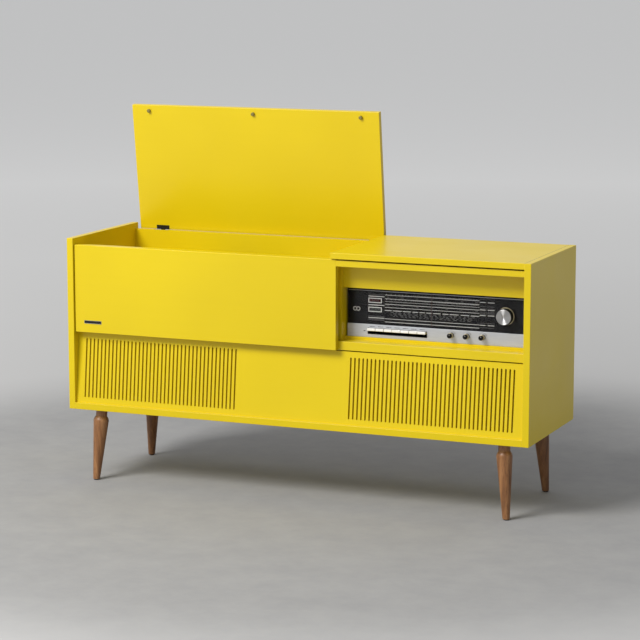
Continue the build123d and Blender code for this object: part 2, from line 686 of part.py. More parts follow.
def make_platter():
    foot = PLAYER_TOP + PLATTER_LIFT
    dish = bar(PLATTER_RADIUS, (PLATTER_X, PLATTER_Y, foot), PLATTER_HEIGHT)
    dish = fillet(dish.edges().group_by(Axis.Z)[-1], 1.5)
    dish -= bar(PLATTER_RADIUS - PLATTER_WALL, (PLATTER_X, PLATTER_Y, foot), PLATTER_HEIGHT - PLATTER_WALL)
    hub_foot = (PLATTER_X, PLATTER_Y, foot - 3)
    dish += bar(PLATTER_HUB, hub_foot, PLATTER_HEIGHT)
    dish -= bar(SPINDLE_RADIUS + RUNNING_FIT, hub_foot, PLATTER_HEIGHT + 3)
    keep("platter", dish)
    mat = tube(PLATTER_RADIUS - 2, SPINDLE_RADIUS + 0.5, (PLATTER_X, PLATTER_Y, MAT_FOOT), MAT_THICK)
    keep("platter_mat", mat)


def make_player_fittings():
    spindle_foot = DECK_TOP - 6
    spindle = bar(SPINDLE_RADIUS, (PLATTER_X, PLATTER_Y, spindle_foot), MAT_TOP + SPINDLE_RISE - spindle_foot)
    spindle = fillet(spindle.edges().group_by(Axis.Z)[-1], 2.5)
    rest_y = ARM_Y - ARM_LENGTH * ARM_REST_SHARE
    cradle_top = ARM_Z - ARM_RADIUS - JOINT_GAP
    post = bar(4, (ARM_X, rest_y, PLAYER_TOP), cradle_top - 4 - PLAYER_TOP)
    cradle = block(ARM_X - 8, ARM_X + 10, rest_y - 5, rest_y + 5, cradle_top - 4, cradle_top)
    lip = block(ARM_X + 7, ARM_X + 10, rest_y - 5, rest_y + 5, cradle_top, cradle_top + 6)
    keep("player_fittings", spindle, post + cradle + lip)
    motor_x = WELL_MIDDLE_X + PLAYER_WIDTH / 2 - 75
    motor_y = WELL_MIDDLE_Y - PLAYER_DEPTH / 2 + 80
    motor = bar(MOTOR_RADIUS, (motor_x, motor_y, DECK_TOP - MOTOR_HEIGHT), MOTOR_HEIGHT)
    motor = chamfer(motor.edges().group_by(Axis.Z)[0], 3)
    keep("player_motor", motor)


def make_tonearm():
    # The bearing turns about Z on its post, and the arm tilts on a trunnion between its two cheeks.
    base_top = PLAYER_TOP + ARM_COLLAR_TOP
    collar_foot = PLAYER_TOP + JOINT_GAP
    post = bar(ARM_POST, (ARM_X, ARM_Y, DECK_TOP - 8), base_top - DECK_TOP + 8)
    collar = bar(ARM_COLLAR_RADIUS, (ARM_X, ARM_Y, collar_foot), base_top - collar_foot)
    collar = fillet(collar.edges().group_by(Axis.Z)[-1], 2)
    bearing = post + collar
    for near in (ARM_X - CHEEK_GAP - CHEEK_THICK, ARM_X + CHEEK_GAP):
        bearing += block(near, near + CHEEK_THICK, ARM_Y - 8, ARM_Y + 8, base_top - 1, ARM_Z + 7)
    reach = CHEEK_GAP + CHEEK_THICK
    bearing += bar(TRUNNION_RADIUS, (ARM_X - reach, ARM_Y, ARM_Z), 2 * reach, (1, 0, 0))
    keep("tonearm_bearing", bearing)
    tip = ARM_Y - ARM_LENGTH
    shell_back = tip + SHELL_LENGTH - 8
    tail = (ARM_X, ARM_Y + ARM_TAIL, ARM_Z)
    arm = bar(ARM_RADIUS, tail, ARM_Y + ARM_TAIL - shell_back + 4, (0, -1, 0))
    arm += block(ARM_X - 8, ARM_X + 8, ARM_Y - 7, ARM_Y + 7, ARM_Z - 6, ARM_Z + 6)
    arm += bar(COUNTERWEIGHT_RADIUS, tail, COUNTERWEIGHT_LENGTH, (0, -1, 0))
    half_width = SHELL_WIDTH / 2
    half_height = SHELL_HEIGHT / 2
    shell = block(
        ARM_X - half_width, ARM_X + half_width, tip - 8, shell_back, ARM_Z - half_height, ARM_Z + half_height
    )
    arm += fillet(shell.edges().filter_by(Axis.Z), 4)
    stylus_foot = MAT_TOP + STYLUS_GAP
    arm += block(ARM_X - 6, ARM_X + 6, tip - 4, tip + 14, stylus_foot + 2, ARM_Z)
    arm += bar(0.8, (ARM_X, tip, stylus_foot), 6)
    arm -= bar(TRUNNION_RADIUS + RUNNING_FIT, (ARM_X - CHEEK_GAP, ARM_Y, ARM_Z), 2 * CHEEK_GAP, (1, 0, 0))
    keep("tonearm", arm)


def make_switch():
    stem_foot = DECK_TOP - 8
    stem = bar(SWITCH_STEM, (SWITCH_X, SWITCH_Y, stem_foot), PLAYER_TOP + 3 - stem_foot)
    lever_foot = PLAYER_TOP + JOINT_GAP
    lever = block(SWITCH_X - 4, SWITCH_X + 4, SWITCH_Y - 5, SWITCH_Y + 18, lever_foot, PLAYER_TOP + 5)
    keep("player_switch", stem + fillet(lever.edges().filter_by(Axis.Z), 3.5))


# ---------------------------------------------------------------- Radio
def small_knob_x(index):
    return RADIO_LEFT + SMALL_KNOB_LEFT + SMALL_KNOB_PITCH * index


def key_slot(front, back):
    """The cutter for the slot that the keys come through."""
    return block(SLOT_LEFT, SLOT_RIGHT, front, back, KEY_SLOT_FOOT, KEY_SLOT_TOP)


def make_radio_front():
    control = block(RADIO_LEFT, RADIO_RIGHT, CONTROL_FRONT, PLATE_FRONT, CONTROL_FOOT, GLASS_FOOT)
    control = fillet(control.edges().filter_by(Axis.X).group_by(Axis.Y)[0], 0.8)
    control -= key_slot(CONTROL_FRONT, PLATE_FRONT)
    plate = block(RADIO_LEFT, RADIO_RIGHT, PLATE_FRONT, PLATE_BACK, CONTROL_FOOT, GLASS_TOP + 1)
    plate -= key_slot(PLATE_FRONT, PLATE_BACK)
    for index in range(SMALL_KNOB_COUNT):
        hole = (small_knob_x(index), CONTROL_FRONT, SMALL_KNOB_Z)
        control -= bar(SHAFT_RADIUS + KNOB_GAP, hole, CONTROL_THICK, (0, 1, 0))
        plate -= bar(SHAFT_RADIUS + RUNNING_FIT, hole, 2 * CONTROL_THICK, (0, 1, 0))
    hub = (TUNING_X, GLASS_FRONT, TUNING_Z)
    plate -= bar(SHAFT_RADIUS + RUNNING_FIT, hub, 4 * CONTROL_THICK, (0, 1, 0))
    glass = block(RADIO_LEFT, RADIO_RIGHT, GLASS_FRONT, GLASS_FRONT + GLASS_THICK, GLASS_FOOT, GLASS_TOP)
    glass = chamfer(glass.edges().group_by(Axis.Y)[0], 0.4)
    glass -= bar(SHAFT_RADIUS + KNOB_GAP, hub, GLASS_THICK, (0, 1, 0))
    keep("control_panel", control)
    keep("radio_front_plate", plate)
    keep("dial_glass", glass)


def make_pointer():
    needle_front = PLATE_FRONT - POINTER_GAP - POINTER_THICK
    above = GLASS_TOP + 1.5
    needle = block(
        POINTER_X - POINTER_WIDTH / 2, POINTER_X + POINTER_WIDTH / 2,
        needle_front, needle_front + POINTER_THICK,
        GLASS_FOOT + 2.5, above + 2,
    )
    half = SADDLE_WIDTH / 2
    saddle = block(POINTER_X - half, POINTER_X + half, needle_front, PLATE_BACK + 5, above, above + 5)
    keep("dial_pointer", needle + saddle)


def make_chassis():
    left = RADIO_LEFT + 5
    right = RADIO_RIGHT - 6
    back = PLATE_BACK + CHASSIS_DEPTH
    sheet = CHASSIS_SHEET
    tray = block(left, right, PLATE_BACK, back, SHELF_TOP, CHASSIS_TOP)
    tray -= block(
        left + sheet, right - sheet, PLATE_BACK + sheet, back - sheet, SHELF_TOP, CHASSIS_TOP - sheet
    )
    # The sill stands in front of the chassis, and the keys and shafts pass through its front wall.
    frame_room = 4
    tray -= block(
        SLOT_LEFT - frame_room, SLOT_RIGHT + frame_room, PLATE_BACK, PLATE_BACK + sheet,
        KEY_SLOT_FOOT - frame_room, KEY_SLOT_TOP + frame_room,
    )
    for index in range(SMALL_KNOB_COUNT):
        hole = (small_knob_x(index), PLATE_BACK, SMALL_KNOB_Z)
        tray -= bar(SHAFT_RADIUS + KNOB_GAP, hole, sheet, (0, 1, 0))
    keep("radio_chassis", tray)


def make_key_frame():
    cheek = KEY_CHEEK
    foot = KEY_SLOT_FOOT - cheek
    top = KEY_SLOT_TOP + cheek
    back = KEY_PIVOT_Y + KEY_HUB_RADIUS + 3
    rack = block(SLOT_LEFT - cheek, SLOT_LEFT, PLATE_BACK, back, foot, top)
    rack += block(SLOT_RIGHT, SLOT_RIGHT + cheek, PLATE_BACK, back, foot, top)
    rack += block(SLOT_LEFT - cheek, SLOT_RIGHT + cheek, PLATE_BACK, back, foot - 1, foot)
    span = SLOT_RIGHT - SLOT_LEFT + 2 * cheek
    rack += bar(KEY_PIVOT_RADIUS, (SLOT_LEFT - cheek, KEY_PIVOT_Y, KEY_PIVOT_Z), span, (1, 0, 0))
    keep("key_frame", rack)


def make_keys():
    for index in range(KEY_COUNT):
        middle = KEYS_LEFT + KEY_PITCH * (index + 0.5)
        half = KEY_WIDTH / 2
        cap = block(middle - half, middle + half, KEY_FRONT, CONTROL_FRONT + 6, KEY_FOOT, KEY_TOP)
        cap = fillet(cap.edges().filter_by(Axis.X).group_by(Axis.Y)[0], 1)
        web = block(
            middle - KEY_WEB / 2, middle + KEY_WEB / 2, CONTROL_FRONT + 5, KEY_PIVOT_Y,
            KEY_PIVOT_Z - 2.5, KEY_PIVOT_Z + 2.5,
        )
        hub = bar(KEY_HUB_RADIUS, (middle - half, KEY_PIVOT_Y, KEY_PIVOT_Z), KEY_WIDTH, (1, 0, 0))
        key = cap + web + hub
        key -= bar(
            KEY_PIVOT_RADIUS + RUNNING_FIT, (middle - half, KEY_PIVOT_Y, KEY_PIVOT_Z), KEY_WIDTH, (1, 0, 0)
        )
        keep(f"piano_key_{index + 1}", key)


def make_knobs():
    behind = PLATE_BACK + SHAFT_REACH
    for index, name in enumerate(["volume_knob", "bass_knob", "treble_knob"]):
        x = small_knob_x(index)
        front = CONTROL_FRONT - KNOB_GAP - SMALL_KNOB_LENGTH
        barrel = bar(SMALL_KNOB_RADIUS, (x, front, SMALL_KNOB_Z), SMALL_KNOB_LENGTH, (0, 1, 0))
        barrel = chamfer(barrel.edges().group_by(Axis.Y)[0], 0.6)
        skirt = bar(SMALL_KNOB_SKIRT, (x, front + 4, SMALL_KNOB_Z), SMALL_KNOB_LENGTH - 4, (0, 1, 0))
        skirt = chamfer(skirt.edges().group_by(Axis.Y)[0], 0.5)
        shaft = bar(SHAFT_RADIUS, (x, front + 1, SMALL_KNOB_Z), behind - front - 1, (0, 1, 0))
        keep(name, barrel + skirt + shaft)
    end = GLASS_FRONT - KNOB_GAP
    face = bar(TUNING_RADIUS, (TUNING_X, TUNING_FRONT, TUNING_Z), end - TUNING_FRONT, (0, 1, 0))
    face = chamfer(face.edges().group_by(Axis.Y)[0], 1)
    ring = bar(TUNING_RING, (TUNING_X, end - TUNING_RING_THICK, TUNING_Z), TUNING_RING_THICK, (0, 1, 0))
    ring = chamfer(ring.edges().group_by(Axis.Y)[0], 1)
    shaft = bar(SHAFT_RADIUS, (TUNING_X, TUNING_FRONT + 2, TUNING_Z), behind - TUNING_FRONT, (0, 1, 0))
    drum = bar(DRUM_RADIUS, (TUNING_X, PLATE_BACK + 8, TUNING_Z), 6, (0, 1, 0))
    keep("tuning_knob", face + ring + shaft + drum)


def standing(size, x, y, z):
    """A box that stands at a height, with its middle over a point."""
    width, depth, height = size
    return block(x - width / 2, x + width / 2, y - depth / 2, y + depth / 2, z, z + height)


def make_chassis_parts():
    x = RADIO_RIGHT - 75
    y = PLATE_BACK + PARTS_SETBACK
    core = standing(CORE_SIZE, x, y, CHASSIS_TOP)
    coil = standing(COIL_SIZE, x, y, CHASSIS_TOP + (CORE_SIZE[2] - COIL_SIZE[2]) / 2)
    keep("power_transformer", core + fillet(coil.edges().filter_by(Axis.Z), 8))

    def valve(index):
        place = (RADIO_LEFT + VALVE_INSET + VALVE_PITCH * index, y + 20 * (index % 2), CHASSIS_TOP)
        base = bar(VALVE_RADIUS + 2, place, 10)
        bulb = bar(VALVE_RADIUS, place, VALVE_HEIGHT)
        return base + fillet(bulb.edges().group_by(Axis.Z)[-1], VALVE_RADIUS * 0.8)

    keep("radio_valves", *at_each(valve, *range(VALVE_COUNT)))


def make_sockets():
    x = DIV_RIGHT + SOCKET_PLATE_INSET
    z = SOCKET_PLATE_HEIGHT

    def rectangle(size, middle, near, far, corner):
        wall = block(middle - size[0] / 2, middle + size[0] / 2, near, far, z - size[1] / 2, z + size[1] / 2)
        return fillet(wall.edges().filter_by(Axis.Y), corner)

    plate = rectangle(SOCKET_PLATE_SIZE, x, DEPTH, DEPTH + SOCKET_PLATE_THICK, 4)
    for step in (-50, -20):
        plate += tube(9, 7.5, (x + step, DEPTH, z), 4, (0, 1, 0))
    inlet = rectangle(INLET_SIZE, x + 35, DEPTH, DEPTH + INLET_DEPTH, 5)
    mouth = tuple(side - 2 * INLET_WALL for side in INLET_SIZE)
    inlet -= rectangle(mouth, x + 35, DEPTH + 2, DEPTH + INLET_DEPTH, 1)
    keep("socket_plate", plate + inlet)


# ---------------------------------------------------------------- The console
make_sides()
make_bottom()
make_top()
make_divider()
make_rails()
make_inner_boards()
make_rear_cover()
make_screws()
make_baffle()
make_speakers()
make_legs()
make_lid()
make_hinges()
make_bay_front()
make_deck()
make_platter()
make_player_fittings()
make_tonearm()
make_switch()
make_radio_front()
make_pointer()
make_chassis()
make_key_frame()
make_keys()
make_knobs()
make_chassis_parts()
make_sockets()

boxes = [shape.bounding_box() for shape in pieces.values()]
middle_x = (min(box.min.X for box in boxes) + max(box.max.X for box in boxes)) / 2
middle_y = (min(box.min.Y for box in boxes) + max(box.max.Y for box in boxes)) / 2
floor = min(box.min.Z for box in boxes)
home = Pos(-middle_x, -middle_y, -floor)

os.makedirs("parts", exist_ok=True)
for name, shape in pieces.items():
    export_step(home * shape, f"parts/{name}.step")
print(len(pieces), "nodes, moved by", (-middle_x, -middle_y, -floor))
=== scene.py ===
# %% [markdown]
# # A radio phonograph console
#
# The console is a long, low cabinet on four turned legs. A lid at the left covers the record player, a
# wide fixed board closes the front of that bay, and a radio fills the bay on the right. Two slotted
# grilles hide the loudspeakers.
#
# The boards, the joints and every size come from the CAD frame, so this file only adds what a joiner and
# a finisher would add: lacquer, metal, glass, print, cloth and the small turned parts. The frame is
# loaded first, because every new piece takes its place from it.

import bmesh
import bpy
import math
import random
from mathutils import Matrix, Vector


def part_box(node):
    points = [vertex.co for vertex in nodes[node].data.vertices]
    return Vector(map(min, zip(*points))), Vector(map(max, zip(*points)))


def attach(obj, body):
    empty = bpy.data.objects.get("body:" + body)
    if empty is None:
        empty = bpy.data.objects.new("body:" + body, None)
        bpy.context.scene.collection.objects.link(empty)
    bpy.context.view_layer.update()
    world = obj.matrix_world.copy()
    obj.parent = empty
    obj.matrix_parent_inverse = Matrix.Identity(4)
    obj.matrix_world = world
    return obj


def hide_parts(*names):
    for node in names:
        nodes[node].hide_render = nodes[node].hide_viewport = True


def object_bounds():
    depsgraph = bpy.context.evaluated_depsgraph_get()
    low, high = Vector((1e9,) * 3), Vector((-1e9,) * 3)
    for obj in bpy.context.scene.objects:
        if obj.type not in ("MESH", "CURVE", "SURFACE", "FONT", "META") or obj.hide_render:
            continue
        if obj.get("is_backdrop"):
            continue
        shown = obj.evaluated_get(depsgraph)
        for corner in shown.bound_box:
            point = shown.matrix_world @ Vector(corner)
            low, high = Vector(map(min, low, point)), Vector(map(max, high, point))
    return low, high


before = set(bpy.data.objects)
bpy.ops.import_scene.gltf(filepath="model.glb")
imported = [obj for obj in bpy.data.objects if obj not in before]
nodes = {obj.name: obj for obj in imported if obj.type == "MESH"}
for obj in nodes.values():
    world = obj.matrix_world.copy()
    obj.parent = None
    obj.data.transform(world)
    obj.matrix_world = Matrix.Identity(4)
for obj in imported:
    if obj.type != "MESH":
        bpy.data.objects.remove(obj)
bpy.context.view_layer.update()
MM = 0.001

# %% [markdown]
# ## The camera
#
# A long lens far away keeps the cabinet's edges almost parallel, as in a catalogue picture. The camera
# could be aimed by hand, but working its place out from a heading, a height angle and a distance keeps
# the view easy to change. It looks at a point inside the cabinet, given from the CAD box.

# %% The camera
VIEW_HEADING = 22.627
VIEW_DROP = 9.346
VIEW_DISTANCE = 6.4488
LENS = 134.54


def view_direction(heading, drop):
    """The direction from the object to the camera, for a heading from the front and an angle above."""
    a, e = math.radians(heading), math.radians(drop)
    return Vector((math.sin(a) * math.cos(e), -math.cos(a) * math.cos(e), math.sin(e)))


scene = bpy.context.scene
look_at = Vector((0.009, -0.0231, 0.4605))
camera_data = bpy.data.cameras.new("camera")
camera_data.lens = LENS
camera_data.sensor_width = 36
camera_data.clip_end = 50
camera = bpy.data.objects.new("camera", camera_data)
scene.collection.objects.link(camera)
back = view_direction(VIEW_HEADING, VIEW_DROP)
camera.location = look_at + back * VIEW_DISTANCE
camera.rotation_mode = "QUATERNION"
camera.rotation_quaternion = (-back).to_track_quat("-Z", "Y")
scene.camera = camera
scene.view_settings.view_transform = "Standard"
print("camera", [round(v, 3) for v in camera.location])

# %% [markdown]
# ## Helpers for meshes and materials
#
# Every new piece is a bmesh that operators shape, written to an object that sits at the origin with its
# place in its mesh, as the CAD nodes are. Materials are small node trees, so a few short functions that
# add a node and link it keep each finish readable.

# %% Mesh helpers
def as_piece(bm, name, material, body, smooth=True, crease=35, solid=True):
    """Writes a bmesh to an object that rides on a CAD body; a solid's faces are turned outwards."""
    if solid:
        bmesh.ops.recalc_face_normals(bm, faces=bm.faces[:])
    mesh = bpy.data.meshes.new(name)
    bm.to_mesh(mesh)
    bm.free()
    mesh.materials.append(material)
    piece = bpy.data.objects.new(name, mesh)
    scene.collection.objects.link(piece)
    if smooth:
        mesh.shade_smooth()
        mesh.set_sharp_from_angle(angle=math.radians(crease))
    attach(piece, body)
    return piece


def add_box(bm, low, high, round_by=0.0, segments=2):
    """Adds a box between two corners, with all its edges rounded by a bevel."""
    size = [high[i] - low[i] for i in range(3)]
    middle = [(high[i] + low[i]) / 2 for i in range(3)]
    place = Matrix.Translation(middle) @ Matrix.Diagonal((*size, 1))
    made = bmesh.ops.create_cube(bm, size=1, matrix=place)
    if round_by > 0:
        edges = list({e for v in made["verts"] for e in v.link_edges})
        bmesh.ops.bevel(
            bm, geom=edges, offset=round_by, offset_type="OFFSET", segments=segments, profile=0.5,
            affect="EDGES", material=-1, clamp_overlap=True,
        )


def add_turned(bm, outline, place, steps=48, closed=False):
    """Spins an outline of (radius, height) points a full turn about Z, then puts it in place."""
    before = set(bm.verts)
    verts = [bm.verts.new((radius, 0, height)) for radius, height in outline]
    pairs = list(zip(verts, verts[1:]))
    if closed:
        pairs.append((verts[-1], verts[0]))
    edges = [bm.edges.new(pair) for pair in pairs]
    bmesh.ops.spin(
        bm, geom=verts + edges, cent=(0, 0, 0), axis=(0, 0, 1), dvec=(0, 0, 0), angle=math.tau,
        steps=steps, use_merge=True, use_duplicate=False,
    )
    new = [v for v in bm.verts if v not in before]
    bmesh.ops.remove_doubles(bm, verts=new, dist=1e-6)
    new = [v for v in bm.verts if v not in before]
    bmesh.ops.transform(bm, matrix=place, verts=new)
    return new


def scaled(outline, size=MM):
    """An outline given in millimetres, in metres."""
    return [(radius * size, height * size) for radius, height in outline]


def turned_piece(name, outline, place, look, body, steps=48, closed=False):
    """A piece turned from an outline in millimetres."""
    bm = bmesh.new()
    add_turned(bm, scaled(outline), place, steps, closed)
    return as_piece(bm, name, look, body)


def boxed_piece(name, low, high, look, body, round_by=0.0, segments=2):
    """A piece that is one box; a box with sharp edges stays flat shaded."""
    bm = bmesh.new()
    add_box(bm, low, high, round_by, segments)
    return as_piece(bm, name, look, body, smooth=round_by > 0)


def frame_at(point, direction):
    """A matrix whose Z runs along a direction from a point."""
    turn = Vector(direction).to_track_quat("Z", "Y").to_matrix().to_4x4()
    return Matrix.Translation(point) @ turn


def middle_of(node):
    """The middle of a CAD node's box."""
    low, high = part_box(node)
    return (Vector(low) + Vector(high)) / 2


# %% Material helpers
def new_material(name):
    """An empty node material, its shader and a function that adds a node and sets what it is given."""
    material = bpy.data.materials.new(name)
    material.use_nodes = True
    tree = material.node_tree
    shader = tree.nodes["Principled BSDF"]

    def add(kind, **settings):
        node = tree.nodes.new(kind)
        for key, value in settings.items():
            if key in node.inputs:
                node.inputs[key].default_value = value
            else:
                setattr(node, key.lower(), value)
        return node

    return material, shader, add


def link(output, socket):
    """Links an output to an input in the tree that holds them both."""
    output.id_data.links.new(output, socket)


def drive(shader, colour, rough, **values):
    """Links a colour and a roughness to a shader, and sets its other inputs by name."""
    link(colour, shader.inputs["Base Color"])
    link(rough, shader.inputs["Roughness"])
    for name, value in values.items():
        shader.inputs[name.replace("_", " ")].default_value = value


def object_coordinates(add, scale=(1, 1, 1), rotation=(0, 0, 0)):
    """Object coordinates through a Mapping node."""
    coordinates = add("ShaderNodeTexCoord")
    mapping = add("ShaderNodeMapping", Scale=scale, Rotation=rotation)
    link(coordinates.outputs["Object"], mapping.inputs["Vector"])
    return mapping.outputs["Vector"]


def noise(add, vector, scale, detail=3.0, roughness=0.5):
    """A noise pattern's value along a vector."""
    node = add("ShaderNodeTexNoise", Scale=scale, Detail=detail, Roughness=roughness)
    link(vector, node.inputs["Vector"])
    return node.outputs["Fac"]


def ramp(add, value, stops, interpolation="LINEAR"):
    """Colours or greys along a value, from a list of (place, colour)."""
    node = add("ShaderNodeValToRGB")
    elements = node.color_ramp.elements
    node.color_ramp.interpolation = interpolation
    while len(elements) < len(stops):
        elements.new(1.0)
    for element, (place, colour) in zip(elements, stops):
        element.position = place
        element.color = (*colour, 1) if len(colour) == 3 else colour
    link(value, node.inputs["Fac"])
    return node.outputs["Color"]


def spread(add, value, low, high):
    """A 0 to 1 value stretched between two numbers."""
    node = add("ShaderNodeMapRange")
    node.inputs["To Min"].default_value = low
    node.inputs["To Max"].default_value = high
    link(value, node.inputs["Value"])
    return node.outputs["Result"]


def mix(add, factor, a, b, blend="MIX"):
    """Two colours mixed; each of a and b is a colour or a socket."""
    node = add("ShaderNodeMix", data_type="RGBA", blend_type=blend)
    for value, socket in ((factor, node.inputs[0]), (a, node.inputs[6]), (b, node.inputs[7])):
        if isinstance(value, bpy.types.NodeSocket):
            link(value, socket)
        elif socket == node.inputs[0]:
            socket.default_value = value
        else:
            socket.default_value = (*value, 1)
    return node.outputs[2]


def multiply(add, a, b=None, amount=1.0):
    """Two values multiplied, or one value times an amount."""
    node = add("ShaderNodeMath", operation="MULTIPLY")
    link(a, node.inputs[0])
    if b is None:
        node.inputs[1].default_value = amount
    else:
        link(b, node.inputs[1])
    return node.outputs[0]


def bump(add, shader, height, strength, distance):
    """A bump on the shader's normal from a height value."""
    node = add("ShaderNodeBump", Strength=strength, Distance=distance)
    link(height, node.inputs["Height"])
    link(node.outputs["Normal"], shader.inputs["Normal"])
    return node


def edge_wear(add, radius, low, high):
    """A value that is 1 on sharp edges and 0 on flat faces, from how far a rounded normal turns."""
    rounded = add("ShaderNodeBevel", samples=4, Radius=radius)
    flat = add("ShaderNodeNewGeometry")
    dot = add("ShaderNodeVectorMath", operation="DOT_PRODUCT")
    link(rounded.outputs["Normal"], dot.inputs[0])
    link(flat.outputs["Normal"], dot.inputs[1])
    node = add("ShaderNodeMapRange")
    node.inputs["From Min"].default_value = high
    node.inputs["From Max"].default_value = low
    link(dot.outputs["Value"], node.inputs["Value"])
    return node.outputs["Result"]


# %% [markdown]
# ## Yellow lacquer
#
# The boards are veneered chipboard under a thick coat of yellow furniture lacquer. It could be one flat
# colour, but real lacquer has a faint drift of colour where the coat is thicker, a slight orange peel
# that shows in its reflections, roughness that varies where hands wipe it, and paler edges, partly worn
# and partly a painted highlight along each edge. Noise on Object coordinates drives all of these, so
# neighbouring boards differ.

# %% Yellow lacquer
def make_lacquer(name, deep, light, grain_along="X", roughness=0.33):
    material, shader, add = new_material(name)
    where = object_coordinates(add)
    drift = noise(add, where, 2.2, 2.0)
    colour = ramp(add, drift, [(0.35, deep), (0.68, light)])
    stretch = {"X": (1.2, 26, 26), "Y": (26, 1.2, 26)}[grain_along]
    along = object_coordinates(add, scale=stretch)
    grain = noise(add, along, 3.0, 5.0, 0.62)
    colour = mix(add, spread(add, grain, 0.0, 0.10), colour, [c * 0.80 for c in deep])
    # Paler edges: partly wear, partly a painted highlight along the board edges.
    worn = edge_wear(add, 0.0016, 0.90, 0.99)
    speckle = ramp(add, noise(add, where, 160, 3.0), [(0.46, (0, 0, 0)), (0.62, (1, 1, 1))])
    worn_and_highlit_edges = multiply(add, worn, speckle)
    pale = [min(1.0, c * 1.05 + 0.06) for c in light]
    colour = mix(add, worn_and_highlit_edges, colour, pale)
    rough = spread(add, noise(add, where, 7.0, 4.0), roughness - 0.06, roughness + 0.12)
    drive(shader, colour, rough, Specular_IOR_Level=0.26, Coat_Weight=0.12, Coat_Roughness=0.16)
    peel = noise(add, where, 240, 2.0)
    bump(add, shader, peel, 0.10, 0.0004)
    return material


YELLOW_DEEP = (0.665, 0.497, 0.003)
YELLOW_LIGHT = (0.725, 0.548, 0.004)
yellow = make_lacquer("yellow_lacquer", YELLOW_DEEP, YELLOW_LIGHT)
yellow_sides = make_lacquer("yellow_lacquer_sides", YELLOW_DEEP, YELLOW_LIGHT, "Y")
long_boards = [
    "bottom_panel", "top_panel", "well_back_panel", "upper_rail", "lower_rail", "niche_rail", "baffle",
    "radio_shelf", "radio_fascia", "lid_panel", "record_bay_front", "deck_board",
]


def finish_nodes(material, names):
    """Gives CAD nodes a finished material."""
    for name in names:
        mesh = nodes[name].data
        mesh.materials.clear()
        mesh.materials.append(material)


finish_nodes(yellow, long_boards)
finish_nodes(yellow_sides, ["side_panel_left", "side_panel_right", "divider"])
print("lacquered", len(long_boards) + 3, "boards")

# %% [markdown]
# ## Turned legs
#
# Each leg is a length of oiled beech, turned on a lathe to a round shoulder and a straight taper. The
# shape is right in the CAD, so only the wood is made here. Wood could be a picture wrapped round the leg,
# but a stretched noise on Object coordinates is grain that runs through the whole leg, as in real timber,
# so the end and the shoulder cut across it. Each leg leans another way, so each gets its own Mapping,
# which turns the pattern in line with the leg and shifts it to another part of the tree.

# %% Turned legs
def make_leg_wood(name, lean_x, lean_y, shift, painted_shade):
    material, shader, add = new_material(name)
    coordinates = add("ShaderNodeTexCoord")
    turn = (lean_y, lean_x, 0.4 * shift)
    mapping = add("ShaderNodeMapping", Rotation=turn, Location=(0.37 * shift, 0.21 * shift, 0))
    link(coordinates.outputs["Object"], mapping.inputs["Vector"])
    stretch = add("ShaderNodeMapping", Scale=(1, 1, 0.045))
    link(mapping.outputs["Vector"], stretch.inputs["Vector"])
    along = stretch.outputs["Vector"]
    figure = noise(add, along, 75, 4.0, 0.6)
    colour = ramp(
        add, figure,
        [(0.28, (0.130, 0.050, 0.015)), (0.50, (0.300, 0.132, 0.045)), (0.72, (0.450, 0.225, 0.090))],
    )
    # Darkening towards a dark brown: painted shade, strongest on the rear legs under the cabinet.
    colour = mix(add, painted_shade, colour, (0.060, 0.022, 0.008))
    pores = noise(add, along, 620, 3.0, 0.5)
    pore_mask = ramp(add, pores, [(0.55, (0, 0, 0)), (0.68, (1, 1, 1))])
    weak_pores = multiply(add, pore_mask, None, 0.55)
    colour = mix(add, weak_pores, colour, (0.095, 0.035, 0.013))
    worn = edge_wear(add, 0.0015, 0.92, 0.995)
    colour = mix(add, multiply(add, worn, None, 0.35), colour, (0.46, 0.26, 0.13))
    drive(shader, colour, spread(add, figure, 0.52, 0.36), Coat_Weight=0.12, Coat_Roughness=0.30)
    bump(add, shader, pores, 0.25, 0.0004)
    return material


LEG_LEAN_SIDE = math.atan2(13, 200)
LEG_LEAN_FRONT = math.atan2(15, 200)
legs = [("front_left", -1, -1), ("front_right", 1, -1), ("rear_left", -1, 1), ("rear_right", 1, 1)]
for number, (name, side, depth) in enumerate(legs):
    # The rear legs get a painted shade for the cabinet's shadow over them; the front legs are darkened only
    # slightly.
    painted_shade = 0.05 if depth < 0 else 0.35
    lean_x, lean_y = -side * LEG_LEAN_SIDE, depth * LEG_LEAN_FRONT
    finish_nodes(make_leg_wood(f"leg_wood_{name}", lean_x, lean_y, number + 1, painted_shade), [f"leg_{name}"])
print("four legs in oiled beech")

# %% [markdown]
# ## Metals, plastics and rubber
#
# The small parts need a family of plain finishes: zinc-plated and blackened steel, brushed and spun
# aluminium, brass, moulded plastic and rubber. A metal of one colour and one roughness looks like
# paint. One function makes them all, with fine scratches from a noise stretched along the way that the
# metal was worked, darker dust in patches, and edges rubbed bright.

# %% Metals, plastics and rubber
def make_finish(
    name, dark, light, metal, low_rough, high_rough, grain=(1, 1, 1), grain_scale=60.0, height=0.08,
    worn_to=None, wear=0.5, coat=0.0,
):
    material, shader, add = new_material(name)
    along = object_coordinates(add, scale=grain)
    fine = noise(add, along, grain_scale, 4.0, 0.6)
    colour = ramp(add, fine, [(0.32, dark), (0.68, light)])
    where = object_coordinates(add)
    dust = noise(add, where, 14, 4.0)
    colour = mix(add, spread(add, dust, 0.0, 0.22), colour, [c * 0.72 for c in dark])
    if worn_to:
        worn = edge_wear(add, 0.0006, 0.88, 0.99)
        colour = mix(add, multiply(add, worn, None, wear), colour, worn_to)
    drive(shader, colour, spread(add, fine, low_rough, high_rough), Metallic=metal)
    if coat:
        shader.inputs["Coat Weight"].default_value = coat
        shader.inputs["Coat Roughness"].default_value = 0.08
    bump(add, shader, fine, height, 0.0002)
    return material


